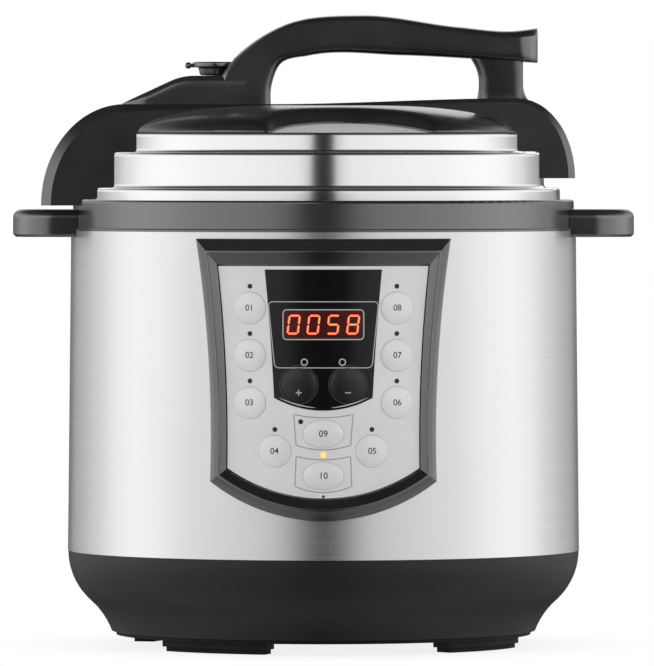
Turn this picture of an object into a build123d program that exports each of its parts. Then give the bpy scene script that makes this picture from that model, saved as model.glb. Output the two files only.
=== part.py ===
from build123d import *
import os
from math import cos, degrees, radians, sin, sqrt

os.makedirs("parts", exist_ok=True)

# Electric pressure cooker of the six litre class, in millimetres.
# The origin is on the floor under the middle of the pot, +Z is up and the
# control panel faces -Y.

# Clearances
slide_gap = 0.3  # between two pieces that move past each other
fit_gap = 0.2  # between two fixed pieces that are put together
screw_gap = 0.1  # round the shank of a screw

# Feet and base
foot_pad_height = 2.5
foot_block_height = 3.5
foot_inset = 5.5  # from the edge of the base's bottom in to the feet
foot_width = 14.0
foot_half_angle = 18.0
foot_pad_inset = 1.5
foot_count = 4
foot_turn = -34.0  # first foot, degrees to the right of the front
cover_plate = 2.0
cover_margin = 2.5
base_height = 43.5
base_bottom_inset = 23.5  # from the top edge of the base in to its bottom
base_waist_inset = 12.2
base_waist_height = 16.3
base_wall = 2.8
base_lip = 14.5
base_inset = 0.2
base_spigot_height = 9.0
base_spigot_wall = 2.4
vent_slot_length = 34.0
vent_slot_width = 3.0
vent_slot_count = 5
vent_slot_pitch = 8.0
base_screw_inset = 9.5  # from the edge of the base's bottom
base_screw_bite = 1.0
base_screw_radius = 1.75
base_screw_sink = 1.2
base_screw_head = 1.0
screw_head_radius = 3.4
screw_head_height = 2.2

# Cooking pot and outer pot
pot_inner_radius = 109.8
pot_wall = 1.5
pot_floor = 2.5
pot_corner = 14.0
pot_rim_width = 5.9
pot_play = 2.7
outer_pot_wall = 1.5
outer_pot_floor = 2.0
outer_pot_clear = 6.5  # from the top of the base up to the outer pot's floor
outer_pot_seat = 1.5
flange_thickness = 3.0
flange_drop = 1.6  # from the top of the collar down to the flange
tooth_reach = 4.3
tooth_half_angle = 13.0
tooth_count = 6

# Collar round the top of the body
collar_height = 16.6
collar_lip_wall = 5.3
collar_floor = 3.0
collar_seat_wall = 4.0
collar_step = 1.1
collar_spigot_wall = 2.7
collar_spigot_depth = 8.0
collar_round = 1.6

# Steel body
body_height = 172.5
body_flare = 1.8
body_sheet = 0.8
body_flange = 3.0

# Side handles
side_handle_overhang = 29.3  # beyond the widest part of the steel
side_handle_width = 60.0
side_handle_thickness = 14.8
side_handle_drop = 3.4  # its underside, below the top of the steel
side_handle_corner = 22.0
side_handle_round = 4.5
side_handle_bevel = 1.5
tongue_width = 32.0
tongue_height = 6.0
tongue_depth = 2.6
tongue_rise = 1.5  # above the middle of the tab

# Lid
lid_sheet = 1.5
lid_tooth_gap = 1.2
lid_lip_gap = 2.0
lid_skirt_clear = 4.0  # above the floor of the collar's trough
lug_thickness = 2.5
lug_reach = 4.5
tier_1_rise = 6.4  # above the top of the collar
tier_2_rise = 19.0
tier_3_rise = 10.5
tier_2_step = 8.7
tier_3_step = 11.3
tier_round = 2.2
dome_edge = 4.0
dome_rise = 9.5

# Lid cover, the black moulding that bridges the lid
cover_thickness = 5.5
cover_edge_inset = 0.6
cover_shoulder = 67.0  # from the cap's edge in to its flat top
scoop_x = 19.0
scoop_half_length = 45.5
scoop_depth = 30.0
scoop_slope = 45.0
arm_gap = 1.2
arm_collar_gap = 0.8
left_arm_overhang = 16.2  # beyond the collar
left_arm_bottom = 3.0  # below the top of the collar
left_arm_half_width = 43.0
right_arm_overhang = 7.3  # beyond the first tier
right_arm_bottom = 5.2  # above the first tier
right_arm_half_width = 30.0
arm_step = 2.0  # over the top of the collar
bridge_left_inset = 1.5  # from the third tier in to where the left arm starts to fall
bridge_right_inset = 4.0  # the same at the right arm
bridge_rise = 6.0  # above the crown of the steel dome
bridge_slope = 3.2  # rise of the bridge's right end
arm_round = 4.0
pillar_overhang = 3.7  # beyond the right end of the bridge
pillar_width = 23.7
pillar_height = 23.0
pillar_waist = 12.0
pillar_flare = 4.5
pillar_foot_flare = 1.5
pillar_half_depth = 13.0
pillar_shoulder = 11.0
pillar_toe = 10.5

# Lid handle, heights above the bridge
grip_half_depth = 16.0
ridge_half_depth = 23.0
ridge_overhang = 2.0  # beyond the left end of the bridge
ridge_slope_length = 31.5
ridge_height = 15.5  # valve platform
ridge_round = 6.0
platform_length = 21.0
leg_width = 27.5
leg_shoulder_inset = 5.5
leg_shoulder = 37.2
leg_inner_height = 12.0
grip_crown_run = 49.5  # from the leg
grip_crown = 48.2
grip_slope_run = 12.0  # from the pillar
grip_slope = 42.0
grip_dip_inset = 4.7
grip_dip = 39.8
grip_end_overhang = 7.9  # beyond the pillar
grip_end_top = 41.3
grip_end_bottom = 22.6
grip_under_run = 42.0  # from the pillar
grip_under = 26.6
grip_inner_run = 20.5  # from the leg
grip_inner = 26.2
grip_round = 5.0

# Steam valve, float valve and the pieces inside the lid
valve_run = 18.4  # from the start of the platform
valve_disc_radius = 12.0
valve_disc_thickness = 3.0
valve_stem_radius = 9.0
valve_stem_height = 4.2
valve_lever_reach = 14.5
valve_lever_width = 2.6
valve_lever_tip = 1.9
valve_pocket_gap = 2.5
pipe_radius = 5.0
pipe_bore = 2.0
pipe_engagement = 2.0
pipe_tail = 1.0
pipe_flange_radius = 7.5
pipe_flange_height = 3.0
nut_radius = 8.0
nut_height = 5.0
shield_radius = 14.0
shield_wall = 1.5
shield_depth = 18.0
shield_slot = 3.0
shield_slot_count = 8
shield_grip = 1.2
float_y = 28.5
float_stem_radius = 2.0
float_cap_radius = 4.0
float_cap_height = 2.5
float_travel = 4.0
float_gasket_radius = 6.0
float_gasket_height = 2.3
float_flange_height = 1.5
float_seat_radius = 4.0
float_seat_flange = 6.5
float_seat_rise = 1.8
float_well_radius = 4.6
seal_wall = 4.0
seal_lip = 3.0
seal_height = 15.0
seal_lip_reach = 6.2
rack_thickness = 1.5
rack_width = 3.3
rack_height = 5.0
rack_tab_half_angle = 2.5
rack_tab_height = 24.0
rack_tab_count = 6

lid_screw_run = 15.4  # outside the steam pipe
lid_screw_y = 24.0
lid_screw_radius = 1.75
ridge_screw_run = 15.0  # from the start of the platform
ridge_screw_y = 12.0
leg_screw_inset = 8.5
pillar_screw_inset = 11.7
pillar_screw_relief = 2.0
handle_screw_bite = 5.0

# Heater and sensor
heater_margin = 5.8  # from the pot's inside in to the plate's edge
heater_round = 3.0
heater_thickness = 20.2
heater_groove_radius = 76.0
heater_groove_width = 9.0
heater_groove_depth = 9.5
element_radius = 4.0
element_gap_angle = 40.0
element_tail = 12.0
element_tail_radius = 2.4
sensor_hole_radius = 16.0
sensor_cap_wall = 1.5
sensor_stem_radius = 3.0
sensor_stem_tail = 4.0
sensor_travel = 2.5
guide_wall = 1.2
guide_height = 10.0
guide_flange = 4.0
spring_radius = 9.0
spring_wire = 0.8
spring_turns = 5
spring_plate_radius = 52.0
spring_plate_thickness = 1.5
spring_plate_drop = 5.0
stud_radius = 3.0
stud_shank_radius = 1.8
stud_nut_radius = 4.8
stud_nut_height = 3.0
stud_circle = 40.0
stud_count = 3
switch_length = 22.0
switch_width = 12.0
switch_height = 12.0
switch_y = 26.0
switch_chamfer = 1.0
fuse_radius = 3.0
fuse_length = 24.0
fuse_inset = 34.0  # from the heating plate's edge
fuse_strap_width = 12.0
fuse_strap_thickness = 1.5
fuse_drop = 4.2

# Boards
power_board_length = 116.0
power_board_width = 76.0
board_thickness = 1.6
power_board_rise = 12.0
board_post_radius = 4.0
board_post_inset = 6.0
board_screw_radius = 1.4
power_board_y = -12.0
transformer_length = 34.0
transformer_width = 28.0
transformer_height = 20.0
relay_length = 22.0
relay_width = 17.0
relay_height = 16.0
capacitor_radius = 8.0
control_board_width = 96.0
control_board_height = 104.0
control_board_inset = 14.2  # from the widest part of the steel
tact_size = 6.0
tact_height = 2.5

# Control panel, seen from the front, with drops below the top of the steel
panel_drop = 17.5
panel_corner_drop = 124.2
panel_bottom_drop = 139.9
panel_half_top = 55.5
panel_half_bottom = 50.7
panel_bow = 1.7
bezel_drop = 3.4
bezel_corner_drop = 131.3
bezel_bottom_drop = 151.7
bezel_half_top = 67.3
bezel_half_bottom = 59.8
bezel_bow = 3.0
bezel_stand = 8.2
bezel_bevel = 5.6
bezel_bevel_height = 6.6
bezel_inner_bevel = 2.2
window_inset = 3.0
carrier_thickness = 2.2
fascia_thickness = 1.7
lens_drop = 19.7
lens_corner_drop = 86.7
lens_bottom_drop = 93.4
lens_half_top = 30.6
lens_half_bottom = 25.7
lens_bow = 0.4
lens_proud = 0.3
display_drop = 48.4
display_width = 42.4
display_height = 15.8
display_play = 0.8
panel_post_radius = 4.0
panel_post_x = 42.0
panel_post_drops = [32.0, 118.0]

# Buttons, with drops below the top of the steel
button_radius = 8.3
button_proud = 1.5
button_round = 0.9
button_travel = 0.8
button_stem_radius = 2.2
button_column_x = 38.6
button_column_drops = [39.7, 64.6, 89.5]
button_low_x = 25.5
button_low_drop = 114.9
mode_button_length = 21.0
mode_button_width = 14.4
mode_button_upper_drop = 105.8
mode_button_lower_drop = 127.9
round_key_radius = 9.3
round_key_x = 12.9
round_key_drop = 79.9
light_radius = 1.2
light_rise = 11.4
light_proud = 0.15
mode_light_x = -11.9
mode_light_drop = 99.4
ready_light_drop = 116.8
ready_light_radius = 1.5

# Mains inlet and condensation cup at the back
inlet_width = 30.0
inlet_height = 22.0
inlet_drop = 18.5  # below the top of the base
inlet_depth = 26.0
inlet_flange = 2.5
inlet_flange_thickness = 2.0
socket_width = 24.4
socket_height = 16.4
socket_depth = 18.0
socket_corner = 5.0
socket_pin_width = 2.0
socket_pin_height = 4.0
socket_pin_pitch = 7.0
socket_pin_length = 14.0
spout_width = 12.0
spout_reach = 11.0
spout_thickness = 2.0
spout_bore = 2.2
cup_half_width = 24.0
cup_height = 44.0
cup_reach = 9.8  # beyond the widest part of the steel
cup_wall = 1.5
cup_flange = 3.0
cup_flange_thickness = 2.0
bracket_thickness = 2.0
bracket_drop = 3.0  # below the top of the steel
cup_drop = 3.0  # below the bracket's plate

# Heights that follow from the sizes above
foot_top = foot_pad_height + foot_block_height
base_bottom_z = foot_top + cover_plate
base_top_z = base_bottom_z + base_height
body_top_z = base_top_z + body_height
collar_top_z = body_top_z + collar_height
trough_z = body_top_z + collar_floor
flange_top_z = collar_top_z - flange_drop
flange_bottom_z = flange_top_z - flange_thickness
outer_pot_z = base_top_z + outer_pot_clear
heater_z = outer_pot_z + outer_pot_floor
heater_top_z = heater_z + heater_thickness
pot_z = heater_top_z + slide_gap
rim_z = flange_top_z + slide_gap
rim_top_z = rim_z + pot_wall
skirt_z = trough_z + lid_skirt_clear
tier_1_z = collar_top_z + tier_1_rise
tier_2_z = tier_1_z + tier_2_rise
tier_3_z = tier_2_z + tier_3_rise
dome_z = tier_3_z + dome_rise
bridge_z = dome_z + bridge_rise
platform_z = bridge_z + ridge_height
seal_z = rim_top_z + slide_gap
inlet_z = base_top_z - inlet_drop
panel_top = body_top_z - panel_drop
panel_corner_z = body_top_z - panel_corner_drop
panel_bottom = body_top_z - panel_bottom_drop
bezel_top = body_top_z - bezel_drop
bezel_corner_z = body_top_z - bezel_corner_drop
bezel_bottom = body_top_z - bezel_bottom_drop
lens_top = body_top_z - lens_drop
lens_corner_z = body_top_z - lens_corner_drop
lens_bottom = body_top_z - lens_bottom_drop
display_z = body_top_z - display_drop
panel_post_z = [body_top_z - drop for drop in panel_post_drops]
button_column_z = [body_top_z - drop for drop in button_column_drops]
button_low_z = body_top_z - button_low_drop
mode_button_upper_z = body_top_z - mode_button_upper_drop
mode_button_lower_z = body_top_z - mode_button_lower_drop
round_key_z = body_top_z - round_key_drop
mode_light_z = body_top_z - mode_light_drop
ready_light_z = body_top_z - ready_light_drop

# Radii that follow from the sizes above
pot_radius = pot_inner_radius + pot_wall
rim_radius = pot_radius + pot_rim_width
outer_pot_inner = pot_radius + pot_play
outer_pot_radius = outer_pot_inner + outer_pot_wall
seat_inner = outer_pot_radius + outer_pot_seat
seat_radius = seat_inner + collar_seat_wall
tooth_radius = seat_radius + tooth_reach
skirt_inner = tooth_radius + lid_tooth_gap
tier_1_radius = skirt_inner + lid_sheet
tier_2_radius = tier_1_radius - tier_2_step
tier_3_radius = tier_2_radius - tier_3_step
dome_radius = tier_3_radius - dome_edge
collar_inner = tier_1_radius + lid_lip_gap
collar_radius = collar_inner + collar_lip_wall
body_top_radius = collar_radius + collar_step
body_bottom_radius = body_top_radius + body_flare
base_top_radius = body_bottom_radius - base_inset
base_waist_radius = base_top_radius - base_waist_inset
base_bottom_radius = base_top_radius - base_bottom_inset
base_screw_circle = base_bottom_radius - base_screw_inset
foot_outer_radius = base_bottom_radius - foot_inset
foot_inner_radius = foot_outer_radius - foot_width
cover_radius = base_bottom_radius - cover_margin
heater_radius = pot_inner_radius - heater_margin
fuse_x = fuse_inset - heater_radius
seal_radius = tier_2_radius - lid_sheet - slide_gap
carrier_radius = body_bottom_radius + carrier_thickness
fascia_radius = carrier_radius + fascia_thickness
bezel_radius = body_bottom_radius + bezel_stand
control_board_setback = body_bottom_radius - control_board_inset
side_handle_reach = body_bottom_radius + side_handle_overhang
inlet_face = base_top_radius
cup_back = body_bottom_radius + cup_reach

# Places along the lid from left to right that follow from the sizes above
left_arm_reach = collar_radius + left_arm_overhang
right_arm_reach = tier_1_radius + right_arm_overhang
bridge_left = bridge_left_inset - tier_3_radius
bridge_right = tier_3_radius - bridge_right_inset
ridge_tip = bridge_left - ridge_overhang
ridge_break = ridge_tip + ridge_slope_length
valve_x = ridge_break + valve_run
lid_screw_x = lid_screw_run - valve_x
leg_left = ridge_break + platform_length
leg_right = leg_left + leg_width
leg_shoulder_x = leg_right - leg_shoulder_inset
pillar_right = bridge_right + pillar_overhang
pillar_left = pillar_right - pillar_width
grip_crown_x = leg_right + grip_crown_run
grip_slope_x = pillar_left - grip_slope_run
grip_dip_x = pillar_right - grip_dip_inset
grip_end = pillar_right + grip_end_overhang
grip_under_x = pillar_left - grip_under_run
grip_inner_x = leg_right + grip_inner_run
ridge_screw_x = ridge_break - ridge_screw_run
leg_screw_x = leg_right - leg_screw_inset
pillar_screw_x = pillar_right - pillar_screw_inset

# Arc of the steel dome, and the same arc raised for the cover on it
dome_curve = (dome_radius**2 + dome_rise**2) / (2 * dome_rise)


def body_radius(z):
    """Outside radius of the steel body, which widens a little downwards."""
    return body_bottom_radius - body_flare * (z - base_top_z) / body_height


def dome_height(radius):
    """Height of the steel dome's outside at a radius from the axis."""
    return dome_z - dome_curve + sqrt(dome_curve**2 - radius**2)


def around(radius, angle):
    """Point at an angle to the right of the front, seen from above."""
    return (radius * sin(radians(angle)), -radius * cos(radians(angle)))


def panel_plane(x, z, radius):
    """Plane across the panel's radius line that shows at x on the fascia."""
    across = x / fascia_radius
    along = sqrt(1 - across**2)
    return Plane(
        origin=(radius * across, -radius * along, z),
        x_dir=(along, across, 0),
        z_dir=(across, -along, 0),
    )


def panel_outline(half_top, half_bottom, bow, top, corner, bottom):
    """Shield shape seen from the front: flat top, sides bowed in, rounded foot."""
    middle = ((half_top + half_bottom) / 2 - bow, (top + corner) / 2)
    with BuildSketch(mode=Mode.PRIVATE) as shape:
        with BuildLine():
            Line((-half_top, top), (half_top, top))
            ThreePointArc((half_top, top), middle, (half_bottom, corner))
            ThreePointArc((half_bottom, corner), (0, bottom), (-half_bottom, corner))
            ThreePointArc((-half_bottom, corner), (-middle[0], middle[1]), (-half_top, top))
        make_face()
    return shape.sketch


def sector(inner, outer, half_angle, middle_angle):
    """Sketch of a ring's sector, at an angle to the right of the front."""
    with BuildSketch(mode=Mode.PRIVATE) as shape:
        with BuildLine():
            far = CenterArc((0, 0), outer, middle_angle - 90 - half_angle, 2 * half_angle)
            near = CenterArc((0, 0), inner, middle_angle - 90 - half_angle, 2 * half_angle)
            Line(far @ 0, near @ 0)
            Line(far @ 1, near @ 1)
        make_face()
    return shape.sketch


def save(part, label):
    part.label = label
    export_step(part, f"parts/{label}.step")


# Places that repeat
foot_angles = [foot_turn + 360 / foot_count * i for i in range(foot_count)]
base_screw_places = [
    around(base_screw_circle, angle + 180 / foot_count) for angle in foot_angles
]
tooth_angles = [360 / tooth_count * i for i in range(tooth_count)]
lug_angles = [angle + 180 / tooth_count for angle in tooth_angles]
board_post_places = [
    (
        sx * (power_board_length / 2 - board_post_inset),
        power_board_y + sy * (power_board_width / 2 - board_post_inset),
    )
    for sx in (-1, 1)
    for sy in (-1, 1)
]
round_button_places = (
    [(-button_column_x, z) for z in button_column_z]
    + [(-button_low_x, button_low_z), (button_low_x, button_low_z)]
    + [(button_column_x, z) for z in reversed(button_column_z)]
)
mode_button_places = [(0, mode_button_upper_z), (0, mode_button_lower_z)]
round_key_places = [(-round_key_x, round_key_z), (round_key_x, round_key_z)]
light_places = [(x, z + light_rise) for x, z in round_button_places] + [
    (mode_light_x, mode_light_z)
]

# Base cover: the plate under the cooker, with foot blocks, vents and board posts
with BuildPart() as base_cover:
    with BuildSketch(Plane.XY.offset(foot_top)):
        Circle(cover_radius)
        with GridLocations(0, vent_slot_pitch, 1, vent_slot_count):
            SlotOverall(vent_slot_length, vent_slot_width, mode=Mode.SUBTRACT)
        with Locations(*base_screw_places):
            Circle(base_screw_radius + fit_gap, mode=Mode.SUBTRACT)
    extrude(amount=cover_plate)
    with BuildSketch(Plane.XY.offset(foot_top)):
        with Locations(*base_screw_places):
            Circle(screw_head_radius + fit_gap)
    extrude(amount=base_screw_sink, mode=Mode.SUBTRACT)
    with BuildSketch(Plane.XY.offset(foot_pad_height)):
        for angle in foot_angles:
            add(sector(foot_inner_radius, foot_outer_radius, foot_half_angle, angle))
    extrude(amount=foot_block_height)
    with BuildSketch(Plane.XY.offset(base_bottom_z)):
        with Locations(*board_post_places):
            Circle(board_post_radius)
            Circle(board_screw_radius + screw_gap, mode=Mode.SUBTRACT)
    extrude(amount=power_board_rise)
save(base_cover.part, "base_cover")

# Rubber pads under the four foot blocks
pad_half_angle = foot_half_angle - degrees(foot_pad_inset / foot_outer_radius)
with BuildPart() as foot_pads:
    with BuildSketch():
        for angle in foot_angles:
            add(
                sector(
                    foot_inner_radius + foot_pad_inset,
                    foot_outer_radius - foot_pad_inset,
                    pad_half_angle,
                    angle,
                )
            )
    extrude(amount=foot_pad_height)
save(foot_pads.part, "foot_pads")

# Base housing: the black bowl under the steel body
waist = (base_waist_radius, base_bottom_z + base_waist_height)
spigot_radius = body_radius(base_top_z + base_spigot_height) - body_sheet - fit_gap
with BuildPart() as base_housing:
    with BuildSketch(Plane.XZ):
        with BuildLine():
            upper = TangentArc((base_top_radius, base_top_z), waist, tangent=(0, -1))
            lower = TangentArc(waist, (base_bottom_radius, base_bottom_z), tangent=upper % 1)
            Line(lower @ 1, (base_bottom_radius - base_lip, base_bottom_z))
            offset(amount=base_wall, side=Side.RIGHT)
        make_face()
        with Locations((spigot_radius - base_spigot_wall, base_top_z - base_wall)):
            Rectangle(
                base_spigot_wall,
                base_wall + base_spigot_height,
                align=(Align.MIN, Align.MIN),
            )
    revolve(axis=Axis.Z)
    with BuildSketch(Plane.XZ):
        with Locations((0, inlet_z)):
            Rectangle(inlet_width + 2 * fit_gap, inlet_height + 2 * fit_gap)
    extrude(amount=-2 * body_bottom_radius, mode=Mode.SUBTRACT)
    with BuildSketch(Plane.XY.offset(base_bottom_z)):
        with Locations(*base_screw_places):
            Circle(base_screw_radius + screw_gap)
    extrude(amount=base_wall, mode=Mode.SUBTRACT)
save(base_housing.part, "base_housing")

# Screws that hold the base cover
with BuildPart() as base_screws:
    with BuildSketch(Plane.XY.offset(foot_top + base_screw_sink - base_screw_head)):
        with Locations(*base_screw_places):
            Circle(screw_head_radius)
    extrude(amount=base_screw_head)
    with BuildSketch(Plane.XY.offset(foot_top + base_screw_sink)):
        with Locations(*base_screw_places):
            Circle(base_screw_radius)
    extrude(amount=cover_plate - base_screw_sink + base_wall + base_screw_bite)
save(base_screws.part, "base_screws")

# Steel body: a rolled sleeve with an inward flange at the top and the panel's window
with BuildPart() as body_shell:
    with BuildSketch(Plane.XZ):
        Polygon(
            (body_bottom_radius, base_top_z),
            (body_top_radius, body_top_z),
            (body_top_radius - body_flange, body_top_z),
            (body_top_radius - body_flange, body_top_z - body_sheet),
            (body_top_radius - body_sheet, body_top_z - body_sheet),
            (body_bottom_radius - body_sheet, base_top_z),
            align=None,
        )
    revolve(axis=Axis.Z)
    with BuildSketch(Plane.XZ):
        add(
            panel_outline(
                panel_half_top - window_inset,
                panel_half_bottom - window_inset,
                panel_bow,
                panel_top - window_inset,
                panel_corner_z + window_inset,
                panel_bottom + window_inset,
            )
        )
    extrude(amount=2 * body_bottom_radius, mode=Mode.SUBTRACT)
save(body_shell.part, "body_shell")

# Collar: drip trough and pot seat, with a drain spout at the back
spigot_out = body_top_radius - body_flange - fit_gap
side_handle_z = body_top_z - side_handle_drop
tongue_z = side_handle_z + side_handle_thickness / 2 + tongue_rise
with BuildPart() as collar:
    with BuildSketch(Plane.XZ):
        Polygon(
            (seat_inner, body_top_z),
            (spigot_out - collar_spigot_wall, body_top_z),
            (spigot_out - collar_spigot_wall, body_top_z - collar_spigot_depth),
            (spigot_out, body_top_z - collar_spigot_depth),
            (spigot_out, body_top_z),
            (collar_radius, body_top_z),
            (collar_radius, collar_top_z),
            (collar_inner, collar_top_z),
            (collar_inner, trough_z),
            (seat_radius, trough_z),
            (seat_radius, flange_bottom_z),
            (seat_inner, flange_bottom_z),
            align=None,
        )
    revolve(axis=Axis.Z)
    fillet(collar.edges().filter_by(GeomType.CIRCLE).group_by(Axis.Z)[-1], collar_round)
    with BuildSketch(Plane.XZ.offset(-(collar_radius - collar_lip_wall / 2))):
        with Locations((0, trough_z)):
            Rectangle(spout_width, 2 * collar_floor)
    extrude(amount=-(collar_lip_wall / 2 + spout_reach))
    with BuildSketch(Plane.XZ.offset(-(seat_radius + 2 * slide_gap))):
        with Locations((0, trough_z + spout_bore / 4)):
            Circle(spout_bore)
    extrude(
        amount=-(collar_radius + spout_reach - spout_thickness - seat_radius),
        mode=Mode.SUBTRACT,
    )
    with BuildSketch(Plane.XY.offset(body_top_z - collar_floor)):
        with Locations((0, collar_radius + spout_reach - spout_thickness - spout_bore)):
            Circle(spout_bore)
    extrude(amount=collar_floor + spout_bore + collar_floor, mode=Mode.SUBTRACT)
    for side in (-1, 1):
        with BuildSketch(Plane.YZ.offset(side * (collar_radius - tongue_depth - fit_gap))):
            with Locations((0, tongue_z)):
                Rectangle(tongue_width + 2 * fit_gap, tongue_height + 2 * fit_gap)
        extrude(amount=side * 2 * tongue_depth, mode=Mode.SUBTRACT)
save(collar.part, "collar")


def make_side_handle(side, label):
    """Carrying tab outside the collar, held by a tongue in the collar's wall."""
    with BuildPart() as handle:
        with BuildSketch(Plane.XY.offset(side_handle_z)):
            with Locations((side * side_handle_reach / 2, 0)):
                RectangleRounded(side_handle_reach, side_handle_width, side_handle_corner)
        extrude(amount=side_handle_thickness)
        fillet(handle.edges().group_by(Axis.Z)[-1], side_handle_round)
        chamfer(handle.edges().group_by(Axis.Z)[0], side_handle_bevel)
        with BuildSketch(Plane.XY.offset(side_handle_z)):
            Circle(body_radius(side_handle_z) + fit_gap)
        extrude(amount=side_handle_drop + fit_gap, mode=Mode.SUBTRACT)
        with BuildSketch(Plane.XY.offset(body_top_z)):
            Circle(collar_radius + fit_gap)
        extrude(amount=side_handle_thickness, mode=Mode.SUBTRACT)
        with BuildSketch(Plane.YZ.offset(side * (collar_radius - tongue_depth))):
            with Locations((0, tongue_z)):
                Rectangle(tongue_width, tongue_height)
        extrude(amount=side * 2 * tongue_depth)
    save(handle.part, label)


make_side_handle(-1, "side_handle_left")
make_side_handle(1, "side_handle_right")

# Outer pot: the fixed pressure vessel, hung by its flange on the collar
guide_radius = sensor_hole_radius - fit_gap
guide_flange_radius = guide_radius + guide_flange
stud_places = [around(stud_circle, 360 / stud_count * i) for i in range(stud_count)]
tail_angles = [90 + element_gap_angle / 2, 90 - element_gap_angle / 2]
tail_places = [around(heater_groove_radius, angle) for angle in tail_angles]
with BuildPart() as outer_pot:
    with BuildSketch(Plane.XZ):
        Polygon(
            (guide_flange_radius + fit_gap, outer_pot_z),
            (outer_pot_radius, outer_pot_z),
            (outer_pot_radius, flange_bottom_z),
            (seat_radius, flange_bottom_z),
            (seat_radius, flange_top_z),
            (outer_pot_inner, flange_top_z),
            (outer_pot_inner, heater_z),
            (guide_flange_radius + fit_gap, heater_z),
            align=None,
        )
    revolve(axis=Axis.Z)
    with BuildSketch(Plane.XY.offset(flange_bottom_z)):
        for angle in tooth_angles:
            add(sector(seat_radius - collar_seat_wall / 2, tooth_radius, tooth_half_angle, angle))
    extrude(amount=flange_thickness)
    with BuildSketch(Plane.XY.offset(outer_pot_z)):
        with Locations(*stud_places):
            Circle(stud_radius + fit_gap)
        with Locations(*tail_places):
            Circle(element_radius)
    extrude(amount=outer_pot_floor, mode=Mode.SUBTRACT)
save(outer_pot.part, "outer_pot")

# Heating plate: cast disc on the outer pot's floor, grooved below for the element
with BuildPart() as heating_plate:
    with BuildSketch(Plane.XY.offset(heater_z)):
        Circle(heater_radius)
        Circle(sensor_hole_radius, mode=Mode.SUBTRACT)
    extrude(amount=heater_thickness)
    fillet(heating_plate.edges().group_by(Axis.Z)[-1].sort_by(SortBy.LENGTH)[-1], heater_round)
    with BuildSketch(Plane.XY.offset(heater_z)):
        Circle(heater_groove_radius + heater_groove_width / 2)
        Circle(heater_groove_radius - heater_groove_width / 2, mode=Mode.SUBTRACT)
    extrude(amount=heater_groove_depth, mode=Mode.SUBTRACT)
save(heating_plate.part, "heating_plate")

# Heating element: a tube bent almost to a full ring, with two tails downwards
element_z = heater_z + heater_groove_depth / 2
with BuildPart() as heating_element:
    with BuildSketch(Plane.XZ.rotated((0, 0, element_gap_angle / 2))):
        with Locations((heater_groove_radius, element_z)):
            Circle(element_radius)
    revolve(axis=Axis.Z, revolution_arc=360 - element_gap_angle)
    with BuildSketch(Plane.XY.offset(element_z)):
        with Locations(*tail_places):
            Circle(element_tail_radius)
    extrude(amount=-(heater_groove_depth / 2 + outer_pot_floor + element_tail))
save(heating_element.part, "heating_element")

# Sensor guide: a stepped sleeve in the middle of the heating plate
guide_inner = guide_radius - guide_wall
with BuildPart() as sensor_guide:
    with BuildSketch(Plane.XZ):
        Polygon(
            (sensor_stem_radius + slide_gap, outer_pot_z),
            (guide_flange_radius, outer_pot_z),
            (guide_flange_radius, heater_z),
            (guide_radius, heater_z),
            (guide_radius, heater_z + guide_height),
            (guide_inner, heater_z + guide_height),
            (guide_inner, heater_z),
            (sensor_stem_radius + slide_gap, heater_z),
            align=None,
        )
    revolve(axis=Axis.Z)
save(sensor_guide.part, "sensor_guide")

# Sensor cap: sprung temperature sensor that meets the cooking pot's floor
sensor_cap_radius = guide_inner - slide_gap
sensor_cap_z = heater_z + sensor_travel + 2 * slide_gap
sensor_top_z = heater_top_z
with BuildPart() as sensor_cap:
    with BuildSketch(Plane.XZ):
        Polygon(
            (0, sensor_top_z),
            (sensor_cap_radius, sensor_top_z),
            (sensor_cap_radius, sensor_cap_z),
            (sensor_cap_radius - sensor_cap_wall, sensor_cap_z),
            (sensor_cap_radius - sensor_cap_wall, sensor_top_z - sensor_cap_wall),
            (sensor_stem_radius, sensor_top_z - sensor_cap_wall),
            (sensor_stem_radius, outer_pot_z - sensor_stem_tail),
            (0, outer_pot_z - sensor_stem_tail),
            align=None,
        )
    revolve(axis=Axis.Z)
save(sensor_cap.part, "sensor_cap")

# Sensor spring: one wire wound round the stem, between guide and cap
spring_low = heater_z + spring_wire
spring_high = sensor_top_z - sensor_cap_wall - spring_wire
with BuildPart() as sensor_spring:
    with BuildLine():
        coil = Helix(
            (spring_high - spring_low) / spring_turns,
            spring_high - spring_low,
            spring_radius,
            center=(0, 0, spring_low),
        )
    with BuildSketch(Plane(origin=coil @ 0, z_dir=coil % 0)):
        Circle(spring_wire)
    sweep()
save(sensor_spring.part, "sensor_spring")

# Spring plate under the outer pot, on studs from the heating plate
spring_plate_top = outer_pot_z - spring_plate_drop
with BuildPart() as spring_plate:
    with BuildSketch(Plane.XY.offset(spring_plate_top)):
        Circle(spring_plate_radius)
        Circle(sensor_hole_radius / 2, mode=Mode.SUBTRACT)
        with Locations(*stud_places):
            Circle(stud_shank_radius + screw_gap, mode=Mode.SUBTRACT)
    extrude(amount=-spring_plate_thickness)
save(spring_plate.part, "spring_plate")

with BuildPart() as plate_studs:
    with BuildSketch(Plane.XY.offset(spring_plate_top)):
        with Locations(*stud_places):
            Circle(stud_radius)
    extrude(amount=heater_z - spring_plate_top)
    with BuildSketch(Plane.XY.offset(spring_plate_top)):
        with Locations(*stud_places):
            Circle(stud_shank_radius)
    extrude(amount=-spring_plate_thickness)
    with BuildSketch(Plane.XY.offset(spring_plate_top - spring_plate_thickness)):
        with Locations(*stud_places):
            RegularPolygon(stud_nut_radius, 6)
    extrude(amount=-stud_nut_height)
save(plate_studs.part, "plate_studs")

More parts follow.
